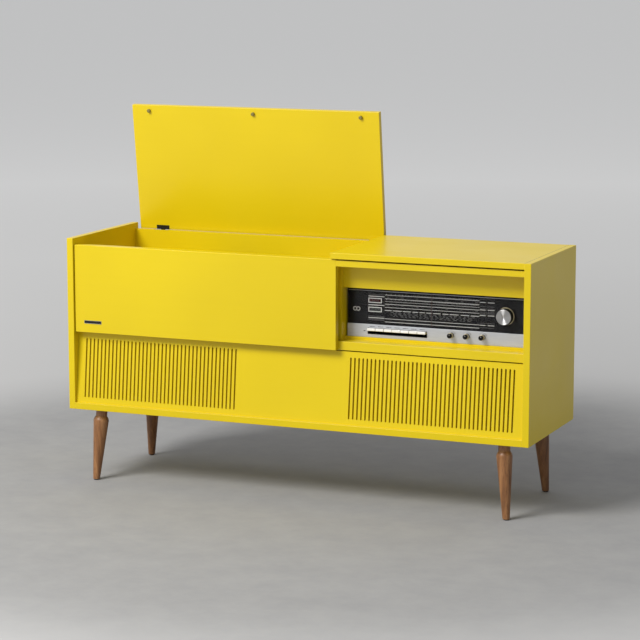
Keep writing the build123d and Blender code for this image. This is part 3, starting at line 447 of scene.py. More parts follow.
BRUSHED_ALONG_X = (0.02, 1, 1)
brushed = make_finish(
    "brushed_aluminium", (0.45, 0.465, 0.50), (0.56, 0.575, 0.61), 0.55, 0.32, 0.48,
    BRUSHED_ALONG_X, 900, 0.16, (0.85, 0.85, 0.85), 0.4,
)
bright_steel = make_finish(
    "bright_steel", (0.50, 0.50, 0.49), (0.66, 0.66, 0.65), 1.0, 0.22, 0.42, (1, 1, 0.1), 300, 0.10,
    (0.80, 0.80, 0.79), 0.5,
)
black_steel = make_finish(
    "black_steel", (0.010, 0.010, 0.011), (0.024, 0.024, 0.025), 0.6, 0.34, 0.55, (1, 1, 1), 220, 0.15,
    (0.26, 0.25, 0.24), 0.5,
)
zinc = make_finish(
    "zinc_plate", (0.33, 0.34, 0.35), (0.56, 0.57, 0.57), 0.9, 0.36, 0.60, (1, 1, 1), 45, 0.06,
    (0.70, 0.70, 0.70), 0.4,
)
iron = make_finish(
    "iron_laminations", (0.045, 0.042, 0.040), (0.10, 0.095, 0.09), 0.7, 0.45, 0.65, (1, 0.02, 0.02),
    1400, 0.5, (0.30, 0.28, 0.26), 0.4,
)
brass = make_finish(
    "brass", (0.50, 0.41, 0.22), (0.74, 0.65, 0.42), 1.0, 0.22, 0.40, (1, 1, 1), 260, 0.05,
    (0.86, 0.80, 0.62), 0.5,
)
black_plastic = make_finish(
    "black_plastic", (0.006, 0.006, 0.0065), (0.014, 0.014, 0.015), 0.0, 0.24, 0.42, (1, 1, 1), 420,
    0.06, (0.06, 0.06, 0.06), 0.5, 0.25,
)
knob_black = make_finish(
    "knob_black", (0.0035, 0.0035, 0.004), (0.008, 0.008, 0.009), 0.0, 0.42, 0.58, (1, 1, 1), 420, 0.06,
)
ivory_plastic = make_finish(
    "ivory_plastic", (0.80, 0.795, 0.765), (0.88, 0.875, 0.85), 0.0, 0.26, 0.38, (1, 1, 1), 120, 0.03,
    (0.90, 0.89, 0.86), 0.3, 0.3,
)
rubber = make_finish(
    "black_rubber", (0.012, 0.012, 0.012), (0.026, 0.026, 0.026), 0.0, 0.62, 0.85, (1, 1, 1), 500, 0.25,
    (0.05, 0.05, 0.05), 0.4,
)
pad_rubber = make_finish(
    "pad_rubber", (0.17, 0.14, 0.03), (0.26, 0.215, 0.05), 0.0, 0.55, 0.75, (1, 1, 1), 300, 0.2,
    (0.22, 0.20, 0.12), 0.3,
)
enamel = make_finish(
    "cream_hammer_enamel", (0.50, 0.49, 0.45), (0.66, 0.65, 0.61), 0.0, 0.22, 0.40, (1, 1, 1), 330, 0.5,
    (0.72, 0.71, 0.68), 0.4, 0.3,
)
pointer_red = make_finish(
    "pointer_red", (0.035, 0.006, 0.005), (0.055, 0.009, 0.007), 0.0, 0.30, 0.45, (1, 1, 1), 200, 0.04,
    (0.12, 0.03, 0.02), 0.3,
)
cone_paper = make_finish(
    "cone_paper", (0.020, 0.017, 0.014), (0.050, 0.042, 0.034), 0.0, 0.75, 0.95, (1, 1, 1), 260, 0.6,
)
print_white = make_finish(
    "print_white", (0.62, 0.62, 0.60), (0.78, 0.78, 0.76), 0.0, 0.45, 0.6, (1, 1, 1), 500, 0.02,
)
print_black = make_finish(
    "print_black", (0.010, 0.010, 0.012), (0.020, 0.020, 0.022), 0.0, 0.45, 0.6, (1, 1, 1), 500, 0.02,
)
print_grey = make_finish(
    "print_grey", (0.13, 0.13, 0.13), (0.20, 0.20, 0.20), 0.0, 0.45, 0.6, (1, 1, 1), 500, 0.02,
)
dial_back = make_finish(
    "dial_back", (0.0035, 0.0035, 0.0045), (0.0075, 0.0075, 0.009), 0.0, 0.50, 0.65, (1, 1, 1), 90, 0.03,
)
for matt in (dial_back, knob_black):
    matt.node_tree.nodes["Principled BSDF"].inputs["Specular IOR Level"].default_value = 0.12

for look, names in (
    (black_steel, ["lid_hinges_fixed", "lid_hinges_moving", "front_badge", "key_frame"]),
    (bright_steel, ["rear_cover_screws", "player_fittings", "leg_plates"]),
    (zinc, ["radio_chassis", "speaker_frames", "player_motor"]),
    (iron, ["power_transformer"]),
    (rubber, ["leg_glides", "platter_mat"]),
    (pad_rubber, ["lid_pads"]),
    (brushed, ["control_panel", "platter"]),
    (enamel, ["player_plate"]),
    (pointer_red, ["dial_pointer"]),
    (cone_paper, ["speaker_cones"]),
    (dial_back, ["radio_front_plate"]),
    (ivory_plastic, [f"piano_key_{number}" for number in range(1, 8)]),
    (black_plastic, ["socket_plate", "player_switch"]),
):
    finish_nodes(look, names)
# The lid's left hinge is bare black steel, and its right hinge was lacquered over with the boards.
for name in ("lid_hinges_fixed", "lid_hinges_moving"):
    mesh = nodes[name].data
    mesh.materials.append(yellow)
    middle_x = sum(v.co.x for v in mesh.vertices) / len(mesh.vertices)
    for polygon in mesh.polygons:
        polygon.material_index = 1 if polygon.center.x > middle_x else 0
print("finishes", len(bpy.data.materials))

# %% [markdown]
# ## Glass and hardboard
#
# The dial has a thin pane in front of its print. A solid glass shader would block the light on its way
# to the print, so the pane is mostly see-through, with a gloss that the eye reads as glass. The valves
# are smoked in the same way. The back is pressed hardboard: matted fibres of two lengths, rougher than
# any board at the front.

# %% Glass and hardboard
def make_pane(name, tint, alpha, index, roughness):
    material, shader, add = new_material(name)
    smear = noise(add, object_coordinates(add, scale=(1, 1, 3)), 9, 4.0)
    colour = ramp(add, smear, [(0.3, tint), (0.7, [c * 1.6 for c in tint])])
    drive(shader, colour, spread(add, smear, roughness, roughness + 0.05), Alpha=alpha, IOR=index)
    return material


dial_glass = make_pane("dial_glass", (0.004, 0.004, 0.005), 0.10, 1.6, 0.03)
valve_glass = make_pane("valve_glass", (0.10, 0.10, 0.11), 0.45, 1.9, 0.06)
finish_nodes(dial_glass, ["dial_glass"])
finish_nodes(valve_glass, ["radio_valves"])


def make_hardboard():
    material, shader, add = new_material("hardboard")
    fibres = noise(add, object_coordinates(add, scale=(1, 1, 0.25)), 420, 6.0, 0.7)
    matted = noise(add, object_coordinates(add, scale=(0.25, 1, 1)), 300, 6.0, 0.7)
    colour = ramp(add, fibres, [(0.30, (0.115, 0.058, 0.028)), (0.70, (0.230, 0.128, 0.066))])
    flecks = ramp(add, matted, [(0.50, (0, 0, 0)), (0.75, (1, 1, 1))])
    colour = mix(add, multiply(add, flecks, None, 0.5), colour, (0.075, 0.036, 0.018))
    cloud = noise(add, object_coordinates(add), 3.0, 4.0)
    colour = mix(add, spread(add, cloud, 0.0, 0.35), colour, (0.16, 0.085, 0.042))
    drive(shader, colour, spread(add, matted, 0.62, 0.85))
    bump(add, shader, fibres, 0.45, 0.0006)
    return material


finish_nodes(make_hardboard(), ["rear_cover"])
print("finishes", len(bpy.data.materials))

# %% [markdown]
# ## The dial's print
#
# The black dial carries printed scales, two small signal windows, a sign and a block of lines at its
# right end. All of it sits on the plate behind the glass, so it could be a texture, but thin printed
# bars as geometry keep sharp edges at any distance. Each bar is a box a tenth of a millimetre thick. A
# function takes a place in millimetres from the left edge and the foot of the glass.

# %% The dial's frame of measure
glass_low, glass_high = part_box("dial_glass")
CONTROL_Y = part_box("control_panel")[0][1]
DIAL_X = glass_low[0]
DIAL_Z = glass_low[2]
DIAL_WIDTH = (glass_high[0] - glass_low[0]) / MM
DIAL_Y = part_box("radio_front_plate")[0][1]
PRINT = 0.12 * MM


def add_print(bm, left, right, middle, thick, y=None, foot_z=None):
    """Adds a printed bar from left to right, thick high about its middle, all in millimetres."""
    y = DIAL_Y if y is None else y
    foot_z = DIAL_Z if foot_z is None else foot_z
    low = (DIAL_X + left * MM, y - PRINT, foot_z + (middle - thick / 2) * MM)
    high = (DIAL_X + right * MM, y, foot_z + (middle + thick / 2) * MM)
    add_box(bm, low, high)


def add_frame(bm, left, right, foot, top, thick):
    """Adds a printed rectangular frame."""
    add_print(bm, left, right, foot + thick / 2, thick)
    add_print(bm, left, right, top - thick / 2, thick)
    for edge in (left, right - thick):
        add_print(bm, edge, edge + thick, (foot + top) / 2, top - foot - 2 * thick)


def add_ring(bm, x, z, outer, inner, y, steps=40):
    """Adds a flat printed ring that faces the front."""
    place = frame_at((x, y, z), (0, -1, 0))
    outline = [(inner, 0), (inner, PRINT), (outer, PRINT), (outer, 0)]
    add_turned(bm, outline, place, steps, closed=True)


print("dial", round(DIAL_WIDTH), "mm wide, print at y", round(DIAL_Y, 4))

# %% [markdown]
# The scales are long thin lines with ticks that crowd together towards the right, as a tuning scale does
# on short waves. Between them lie a row of dashes and a staggered block, where a real dial lists its
# stations. Those are plain dashes here, placed by a seeded random series, and the only figures are the
# ordinary numbers of a frequency scale.

# %% Scales and windows
SCALE_LEFT = 103.8
SCALE_RIGHT = 364.0
BLOCK_RIGHT = 405.0
LINE_RISE = {"top": 79.5, "second": 69.8, "thin": 62.5, "fourth": 55.5, "fifth": 47.0, "dashes": 39.0}
random.seed(7)
scales = bmesh.new()
dim = bmesh.new()
for name, thick in (("top", 1.1), ("second", 1.1), ("fourth", 1.3), ("fifth", 1.1)):
    add_print(scales, SCALE_LEFT, SCALE_RIGHT, LINE_RISE[name], thick)
for rise, thick in ((LINE_RISE["thin"], 0.7), (8.5, 1.5), (16.8, 1.3)):
    add_print(scales, SCALE_LEFT, SCALE_RIGHT, rise, thick)
for rise, above in ((LINE_RISE["top"], 1), (LINE_RISE["second"], -1)):
    place = SCALE_LEFT + 4
    while place < SCALE_RIGHT - 2:
        crowd = (place - SCALE_LEFT) / (SCALE_RIGHT - SCALE_LEFT)
        add_print(scales, place, place + 1.5, rise + above * 1.5, 1.9)
        place += 13.0 - 8.8 * min(1.0, 2.6 * crowd)
place = SCALE_LEFT
while place < SCALE_RIGHT - 12:
    length = random.uniform(14, 30)
    add_print(scales, place, min(place + length, SCALE_RIGHT), LINE_RISE["dashes"], 1.7)
    place += length + random.uniform(3.0, 6.0)
for row in range(4):
    place = SCALE_LEFT + 16 + 7 * (row % 2)
    while place < SCALE_RIGHT - 18:
        length = random.uniform(3.5, 10)
        add_print(dim, place, place + length, 34.6 - 3.5 * row, 1.3)
        place += length + random.uniform(3.5, 9.0)
for row, rise in enumerate((84.0, 76.0, 65.5, 59.5, 56.5, 51.0, 48.0, 45.0, 42.0, 22.0, 16.5, 10.0)):
    strong = row in (1, 4, 8, 10)
    target = scales if strong else dim
    thick = 1.7 if strong else 0.8
    add_print(target, SCALE_RIGHT + 1, SCALE_RIGHT + 17, rise, thick)
    add_print(target, BLOCK_RIGHT - 18, BLOCK_RIGHT, rise, thick)
    add_print(dim, SCALE_RIGHT + 18, BLOCK_RIGHT - 19, rise, 0.6)
WINDOW_LEFT = 57.5
WINDOW_RIGHT = 95.0
WINDOW_FEET = (33.0, 57.0)
for foot in WINDOW_FEET:
    add_frame(scales, WINDOW_LEFT, WINDOW_RIGHT, foot, foot + 13.0, 2.2)
for rise, thick in ((51.4, 2.0), (74.4, 2.0), (17.6, 1.8)):
    add_print(scales, WINDOW_LEFT, SCALE_LEFT - 1.5, rise, thick)
for rise, thick in ((79.6, 0.9), (21.8, 0.9), (11.8, 0.9), (14.6, 0.7)):
    add_print(dim, WINDOW_LEFT, SCALE_LEFT - 1.5, rise, thick)
as_piece(scales, "dial_scales", print_white, "cabinet", smooth=False)
as_piece(dim, "dial_fine_lines", print_grey, "cabinet", smooth=False)

signs = bmesh.new()
for shift in (-1, 1):
    add_ring(signs, DIAL_X + (24.6 + 4.4 * shift) * MM, DIAL_Z + 39.3 * MM, 5.8 * MM, 3.5 * MM, DIAL_Y)
as_piece(signs, "dial_rings", print_white, "cabinet")

boxed_piece(
    "dial_trim_strip", (glass_low[0] + 2 * MM, DIAL_Y - 0.6 * MM, DIAL_Z + 88.0 * MM),
    (glass_high[0] - 2 * MM, DIAL_Y, DIAL_Z + 89.6 * MM), brushed, "cabinet", 0.25 * MM,
)
print("printed bars and rings on the dial")

# %% [markdown]
# The two signal windows are dark panes in bright frames, a red one for the tuned carrier and a grey one
# below it. Each is a thin glossy tile with rounded edges, so its rim catches light.

# %% Signal windows and figures
window_red = make_finish(
    "window_red", (0.030, 0.006, 0.006), (0.060, 0.012, 0.010), 0.0, 0.18, 0.30, (0.1, 1, 1), 400, 0.05,
)
window_grey = make_finish(
    "window_grey", (0.022, 0.026, 0.026), (0.060, 0.068, 0.066), 0.0, 0.18, 0.30, (0.1, 1, 1), 500, 0.05,
)
for foot, where, look in ((WINDOW_FEET[1], "upper", window_red), (WINDOW_FEET[0], "lower", window_grey)):
    low = (DIAL_X + (WINDOW_LEFT + 2.4) * MM, DIAL_Y - 0.3 * MM, DIAL_Z + (foot + 2.4) * MM)
    high = (DIAL_X + (WINDOW_RIGHT - 2.4) * MM, DIAL_Y, DIAL_Z + (foot + 10.6) * MM)
    boxed_piece(f"signal_window_{where}", low, high, look, "cabinet", round_by=0.12 * MM)


def add_figures(bm, text, place, size):
    """Adds upright figures that face the front, as a thin mesh made from a text curve."""
    curve = bpy.data.curves.new("figures", "FONT")
    curve.body = text
    curve.size = size
    curve.extrude = PRINT / 2
    curve.resolution_u = 2
    curve.align_x = "CENTER"
    holder = bpy.data.objects.new("figures", curve)
    scene.collection.objects.link(holder)
    bpy.context.view_layer.update()
    made = bpy.data.meshes.new_from_object(holder.evaluated_get(bpy.context.evaluated_depsgraph_get()))
    made.transform(Matrix.Translation(place) @ Matrix.Rotation(math.pi / 2, 4, "X"))
    bm.from_mesh(made)
    bpy.data.objects.remove(holder)
    bpy.data.curves.remove(curve)
    bpy.data.meshes.remove(made)


figures = bmesh.new()
long_wave = [150, 175, 200, 225, 250, 275, 300]
medium_wave = [520, 600, 700, 850, 1000, 1200, 1600]
for numbers, rise in ((medium_wave, 72.6), (long_wave, 50.4)):
    step = (SCALE_RIGHT - SCALE_LEFT - 16) / (len(numbers) - 1)
    for index, number in enumerate(numbers):
        x = DIAL_X + (SCALE_LEFT + 8 + step * index) * MM
        add_figures(figures, str(number), (x, DIAL_Y - PRINT / 2, DIAL_Z + rise * MM), 4.2 * MM)
bmesh.ops.remove_doubles(figures, verts=figures.verts[:], dist=1e-6)
as_piece(figures, "dial_figures", print_grey, "cabinet", smooth=False, solid=False)
print("figures on two scales")

# %% [markdown]
# ## Marks on the silver panel
#
# Above the keys and the small knobs the real panel has short dark marks. They name nothing here: each
# key has three dashes, and each knob an arc of dots that grow from soft to loud, the way an unnamed
# control is marked.

# %% Marks on the silver panel
marks = bmesh.new()
key_boxes = [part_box(f"piano_key_{number}") for number in range(1, 8)]
key_top = max(high[2] for low, high in key_boxes)
for low, high in key_boxes:
    middle = ((low[0] + high[0]) / 2 - DIAL_X) / MM
    foot = (key_top - DIAL_Z) / MM + 3.6
    for shift, width in ((-5.4, 3.4), (-0.9, 4.2), (4.6, 3.6)):
        add_print(marks, middle + shift - width / 2, middle + shift + width / 2, foot, 1.5, CONTROL_Y)
low, high = key_boxes[0]
left = (low[0] - DIAL_X) / MM
add_print(marks, left - 13.5, left - 8.5, (low[2] - DIAL_Z) / MM - 1.0, 2.0, CONTROL_Y)
knob_nodes = ["volume_knob", "bass_knob", "treble_knob"]
DOTS = 9
for name in knob_nodes:
    middle = middle_of(name)
    for index in range(DOTS):
        angle = math.radians(150 - 120 * index / (DOTS - 1))
        size = (0.35 + 0.07 * index) * MM
        x = middle.x + math.cos(angle) * 11.4 * MM
        z = middle.z + math.sin(angle) * 11.4 * MM
        add_ring(marks, x, z, size, 0.05 * MM, CONTROL_Y, 10)
as_piece(marks, "panel_marks", print_black, "cabinet", smooth=False)
print("marks for", len(key_boxes), "keys and", len(knob_nodes), "knobs")

# %% [markdown]
# ## The tuning knob
#
# A large spun-aluminium face sits in front of a ribbed black grip and a thin brass ring. Spun metal
# shows a bright hourglass, because its fine turning rings scatter light across them. It could be painted
# on, but then it would not follow the light, so the face's highlight is stretched across the rings by an
# anisotropic shader, and fine rings go into its bump, centred on the knob by a Mapping node. The grip's
# ribs are real: every other column of a spun barrel is scaled out.

# %% Spun metal
def make_spun(name, centre, dark, light):
    material, shader, add = new_material(name)
    coordinates = add("ShaderNodeTexCoord")
    mapping = add("ShaderNodeMapping", vector_type="TEXTURE", Location=centre)
    link(coordinates.outputs["Object"], mapping.inputs["Vector"])
    rings = add("ShaderNodeTexWave", wave_type="RINGS", rings_direction="Y", Scale=420, Distortion=0.6)
    link(mapping.outputs["Vector"], rings.inputs["Vector"])
    coarse = add("ShaderNodeTexWave", wave_type="RINGS", rings_direction="Y", Scale=95)
    link(mapping.outputs["Vector"], coarse.inputs["Vector"])
    colour = ramp(add, coarse.outputs["Fac"], [(0.1, dark), (0.9, light)])
    rough = spread(add, coarse.outputs["Fac"], 0.38, 0.48)
    drive(shader, colour, rough, Metallic=1.0, Anisotropic=0.95, Anisotropic_Rotation=0.25)
    turned = add("ShaderNodeTangent", direction_type="RADIAL", axis="Y")
    link(turned.outputs["Tangent"], shader.inputs["Tangent"])
    bump(add, shader, rings.outputs["Fac"], 0.25, 0.0001)
    return material


def rib_every_other(bm, verts, radius, steps, share):
    """Scales every other column of a turned barrel, where it is wider than a radius."""
    wide = [v for v in verts if v.co.xy.length > radius]
    ribs = [v for v in wide if round(math.atan2(v.co.y, v.co.x) / math.tau * steps) % 2]
    bmesh.ops.scale(bm, vec=(share, share, 1), verts=ribs)


def knob_place(node):
    """The middle of a knob's front, with Z running back along its shaft."""
    low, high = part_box(node)
    return frame_at(((low[0] + high[0]) / 2, low[1], (low[2] + high[2]) / 2), (0, 1, 0))


# %% The tuning knob
tuning_low, tuning_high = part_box("tuning_knob")
tuning_middle = (tuning_low[0] + tuning_high[0]) / 2, tuning_low[1], (tuning_low[2] + tuning_high[2]) / 2
TUNING_END = (glass_low[1] - tuning_low[1]) / MM - 0.6
SHAFT_END = (tuning_high[1] - tuning_low[1]) / MM
place = knob_place("tuning_knob")
spun = make_spun("spun_aluminium", tuning_middle, (0.36, 0.36, 0.365), (0.56, 0.56, 0.56))
face_outline = [
    (0, 1.1), (2.2, 1.15), (2.6, 0.9), (15.5, 0.75), (17.9, 0.35), (18.5, 0.0), (19.3, 0.05), (19.9, 0.5),
    (20.1, 1.3), (19.8, 2.2), (0, 2.2),
]
knob_face = turned_piece("tuning_knob_face", face_outline, place, spun, "tuning", 96)
RIBS = 60
grip = bmesh.new()
grip_outline = [
    (0, 2.2), (21.0, 2.2), (21.6, 2.8), (21.6, 14.4), (21.0, 15.0), (3.0, 15.0), (3.0, SHAFT_END),
    (0, SHAFT_END),
]
grip_verts = add_turned(grip, scaled(grip_outline), Matrix.Identity(4), 2 * RIBS)
rib_every_other(grip, grip_verts, 21.5 * MM, 2 * RIBS, 1.028)
add_turned(grip, scaled([(0, 36.7), (14, 36.7), (14, 42.7), (0, 42.7)]), Matrix.Identity(4), 48)
bmesh.ops.transform(grip, matrix=place, verts=grip.verts[:])
as_piece(grip, "tuning_knob_grip", knob_black, "tuning", crease=20)
ring_outline = [
    (18.8, TUNING_END - 0.9), (22.5, TUNING_END - 0.9), (22.8, TUNING_END - 0.8), (22.9, TUNING_END - 0.5),
    (22.9, TUNING_END), (18.8, TUNING_END),
]
turned_piece("tuning_knob_ring", ring_outline, place, brass, "tuning", 96, closed=True)
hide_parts("tuning_knob")
print("tuning knob", round(TUNING_END, 1), "mm deep,", RIBS, "ribs")

# %% [markdown]
# ## The small knobs
#
# Volume, bass and treble have a narrow black cap with a dished face, a brass sleeve and a dark foot ring.
# All three are the same turned parts, so one loop makes them. A short white line on each cap shows its
# setting, and turns with it.

# %% The small knobs
for node in knob_nodes:
    place = knob_place(node)
    body = node.split("_")[0]
    low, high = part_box(node)
    depth = (CONTROL_Y - low[1]) / MM - 0.6
    end = (high[1] - low[1]) / MM
    cap_outline = [
        (0, 0.7), (3.6, 0.45), (5.0, 0.0), (5.8, 0.15), (6.2, 0.7), (6.2, 5.4), (3.0, 5.4), (3.0, end),
        (0, end),
    ]
    knob_cap = turned_piece(f"{node}_cap", cap_outline, place, knob_black, body)
    sleeve_outline = [
        (3.05, 5.5), (6.6, 5.5), (7.0, 5.8), (7.15, 6.4), (7.15, depth - 3.6), (6.6, depth - 3.2),
        (3.05, depth - 3.2),
    ]
    turned_piece(f"{node}_sleeve", sleeve_outline, place, brass, body, 60, closed=True)
    foot_outline = [
        (3.05, depth - 3.1), (6.3, depth - 3.1), (7.1, depth - 2.4), (7.1, depth), (3.05, depth),
    ]
    turned_piece(f"{node}_foot", foot_outline, place, knob_black, body, closed=True)
    middle = middle_of(node)
    boxed_piece(
        f"{node}_line", (middle.x - 0.35 * MM, low[1] + 0.1 * MM, middle.z + 1.2 * MM),
        (middle.x + 0.35 * MM, low[1] + 0.9 * MM, middle.z + 4.3 * MM), print_white, body,
        round_by=0.1 * MM,
    )
    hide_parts(node)
print("small knobs", knob_nodes)

# %% [markdown]
# ## Grille cloth
#
# Behind each grille a piece of dark woven cloth is stretched and glued over the slots, to keep dust off
# the cone. A flat colour would show as a hole, so each piece is a thin sheet with a real weave: threads
# both ways from two waves on the sheet's own UV map, each thread rounded by the bump. The sheet is a
# grid, laid on the leaning back of the baffle, at the size it was cut to.

# %% Grille cloth
def make_weave(name, dark, light, threads_per_metre):
    material, shader, add = new_material(name)
    uv = add("ShaderNodeUVMap", uv_map="weave")
    waves = []
    for direction in ("X", "Y"):
        wave = add("ShaderNodeTexWave", wave_type="BANDS", bands_direction=direction)
        wave.inputs["Scale"].default_value = threads_per_metre / 10
        wave.inputs["Distortion"].default_value = 0.8
        wave.inputs["Detail"].default_value = 2.0
        link(uv.outputs["UV"], wave.inputs["Vector"])
        waves.append(wave.outputs["Fac"])
    woven = multiply(add, waves[0], waves[1])
    colour = ramp(add, woven, [(0.10, dark), (0.75, light)])
    fleck = noise(add, uv.outputs["UV"], 300, 3.0)
    colour = mix(add, spread(add, fleck, 0.0, 0.4), colour, [c * 0.5 for c in light])
    link(colour, shader.inputs["Base Color"])
    link(spread(add, woven, 0.95, 0.75), shader.inputs["Roughness"])
    shader.inputs["Sheen Weight"].default_value = 0.25
    bump(add, shader, woven, 0.6, 0.0004)
    return material


cloth_weave = make_weave("grille_cloth", (0.010, 0.008, 0.004), (0.060, 0.047, 0.020), 900)
CLOTH_INSET = 0.5 * MM
CLOTH_CELLS = (60, 22)
LEAN = math.atan2(20, 192)
cloth_mesh = nodes["grille_cloths"].data
for side in (-1, 1):
    corners = [v.co for v in cloth_mesh.vertices if v.co.x * side > 0]
    left, right = min(c.x for c in corners), max(c.x for c in corners)
    lean_up = Vector((0, math.sin(LEAN), math.cos(LEAN)))
    outward = Vector((0, -math.cos(LEAN), math.sin(LEAN)))
    foot = min(c.dot(lean_up) for c in corners)
    top = max(c.dot(lean_up) for c in corners)
    front = max(c.dot(outward) for c in corners)
    width, height = right - left - 2 * CLOTH_INSET, top - foot - 2 * CLOTH_INSET
    sheet = bmesh.new()
    across, upwards = CLOTH_CELLS
    bmesh.ops.create_grid(sheet, x_segments=across, y_segments=upwards, size=0.5, calc_uvs=False)
    uv_layer = sheet.loops.layers.uv.new("weave")
    for corner in (loop for f in sheet.faces for loop in f.loops):
        corner[uv_layer].uv = (corner.vert.co.x * width, corner.vert.co.y * height)
    middle = Vector(((left + right) / 2, 0, 0)) + lean_up * (foot + top) / 2 + outward * (front - 0.35 * MM)
    turn = Matrix((Vector((1, 0, 0)), lean_up, outward)).transposed().to_4x4()
    place = Matrix.Translation(middle) @ turn @ Matrix.Diagonal((width, height, 1, 1))
    bmesh.ops.transform(sheet, matrix=place, verts=sheet.verts[:])
    name = "grille_cloth_left" if side < 0 else "grille_cloth_right"
    piece = as_piece(sheet, name, cloth_weave, "cabinet", solid=False)
    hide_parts("grille_cloths")
    print(name, round(width, 4), "by", round(height, 4), "m")

# %% [markdown]
# ## The badge's rim and the hinge screws
#
# The front's badge is a small dark plate with a bright rim and nothing written on it. The rim is a bar
# frame that stands a little proud. The hinges are held by countersunk screws, whose heads are short
# turned discs with a slot. The fixed leaves carry three each.

# %% Badge rim
badge_low, badge_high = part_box("front_badge")
RIM = 0.7 * MM
rim = bmesh.new()
rim_front = badge_low[1] - 0.05 * MM
rim_back = badge_high[1] - 0.3 * MM
for z0, z1 in ((badge_low[2], badge_low[2] + RIM), (badge_high[2] - RIM, badge_high[2])):
    add_box(rim, (badge_low[0], rim_front, z0), (badge_high[0], rim_back, z1), 0.12 * MM)
for x0, x1 in ((badge_low[0], badge_low[0] + RIM), (badge_high[0] - RIM, badge_high[0])):
    add_box(rim, (x0, rim_front, badge_low[2] + RIM), (x1, rim_back, badge_high[2] - RIM), 0.12 * MM)
as_piece(rim, "badge_rim", zinc, "cabinet")


# %% Screw heads
def add_screw(bm, point, direction, radius, turn):
    """Adds a domed screw head with a straight slot cut across it."""
    outline = [(0, 0.62), (0.55, 0.58), (0.9, 0.36), (1.0, 0.0), (0, 0.0)]
    place = frame_at(point, direction) @ Matrix.Rotation(turn, 4, "Z")
    head = bmesh.new()
    add_turned(head, [(r * radius, h * radius * 0.55) for r, h in outline], Matrix.Identity(4), 24)
    for offset in (-0.11, 0.11):
        bmesh.ops.bisect_plane(
            head, geom=head.verts[:] + head.edges[:] + head.faces[:], plane_co=(offset * radius, 0, 0),
            plane_no=(1, 0, 0), dist=1e-7,
        )
    slot = [v for v in head.verts if abs(v.co.x) < 0.12 * radius and v.co.z > 0.05 * radius]
    bmesh.ops.translate(head, vec=(0, 0, -0.14 * radius), verts=slot)
    bmesh.ops.transform(head, matrix=place, verts=head.verts[:])
    made = bpy.data.meshes.new("screw")
    head.to_mesh(made)
    head.free()
    bm.from_mesh(made)
    bpy.data.meshes.remove(made)


hinge_mesh = nodes["lid_hinges_fixed"].data
hinge_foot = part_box("lid_hinges_fixed")[0][2]
panel_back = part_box("well_back_panel")[1][1]
fixed_screws = bmesh.new()
hinge_ends = [(min(xs), max(xs)) for xs in (
    [v.co.x for v in hinge_mesh.vertices if v.co.x < middle_of("lid_hinges_fixed").x],
    [v.co.x for v in hinge_mesh.vertices if v.co.x > middle_of("lid_hinges_fixed").x],
)]
for left, right in hinge_ends:
    for share in (0.2, 0.5, 0.8):
        x = left + (right - left) * share
        point = (x, panel_back + 1.4 * MM, hinge_foot + 9 * MM)
        add_screw(fixed_screws, point, (0, 1, 0), 2.6 * MM, share * 5)
as_piece(fixed_screws, "hinge_screws", bright_steel, "cabinet")
print("hinge screws", 3 * len(hinge_ends))

# %% [markdown]
# ## The record player
#
# Under the lid lies a small record player. Its platter carries a ribbed rubber mat, and the arm is an
# aluminium tube with a head at one end and a counterweight at the other. The mat is a turned outline
# whose ribs are a loop. The arm's parts follow the CAD arm, so the two occupy the same room, but each
# gets the detail of the real thing: a bevelled head with a finger lift, a cartridge, and a weight with
# a ribbed grip.

# %% Platter mat
mat_low, mat_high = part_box("platter_mat")
mat_middle = (mat_low + mat_high) / 2
mat_radius = (mat_high[0] - mat_low[0]) / 2 / MM
MAT_RIBS = 15
mat_thick = (mat_high[2] - mat_low[2]) / MM
outline = [(4.1, 0), (4.1, mat_thick - 0.8), (48, mat_thick - 0.8)]
step = (mat_radius - 56) / MAT_RIBS
for index in range(MAT_RIBS):
    rib = 50 + step * index
    outline += [(rib, mat_thick - 0.9), (rib + step * 0.28, mat_thick), (rib + step * 0.62, mat_thick)]
outline += [(mat_radius - 4, mat_thick - 0.9), (mat_radius - 2.5, mat_thick), (mat_radius - 0.6, mat_thick)]
outline += [(mat_radius, mat_thick - 0.6), (mat_radius, 0)]
place = Matrix.Translation((mat_middle[0], mat_middle[1], mat_low[2]))
mat_piece = turned_piece("ribbed_mat", outline, place, rubber, "platter", 120, closed=True)
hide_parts("platter_mat")
strobe = bmesh.new()
platter_low, platter_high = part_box("platter")
platter_radius = (platter_high[0] - platter_low[0]) / 2
STROBE_DOTS = 90
spindle = Matrix.Translation((mat_middle[0], mat_middle[1], 0))
rim_place = Matrix.Translation((platter_radius, 0, (platter_low[2] + platter_high[2]) / 2 + 2 * MM))
dot_size = Matrix.Diagonal((0.3 * MM, 4.0 * MM, 3.2 * MM, 1))
for index in range(STROBE_DOTS):
    turn = Matrix.Rotation(math.tau * index / STROBE_DOTS, 4, "Z")
    bmesh.ops.create_cube(strobe, size=1, matrix=spindle @ turn @ rim_place @ dot_size)
as_piece(strobe, "platter_strobe_marks", print_black, "platter", smooth=False)
print("mat ribs", MAT_RIBS, "strobe marks", STROBE_DOTS)

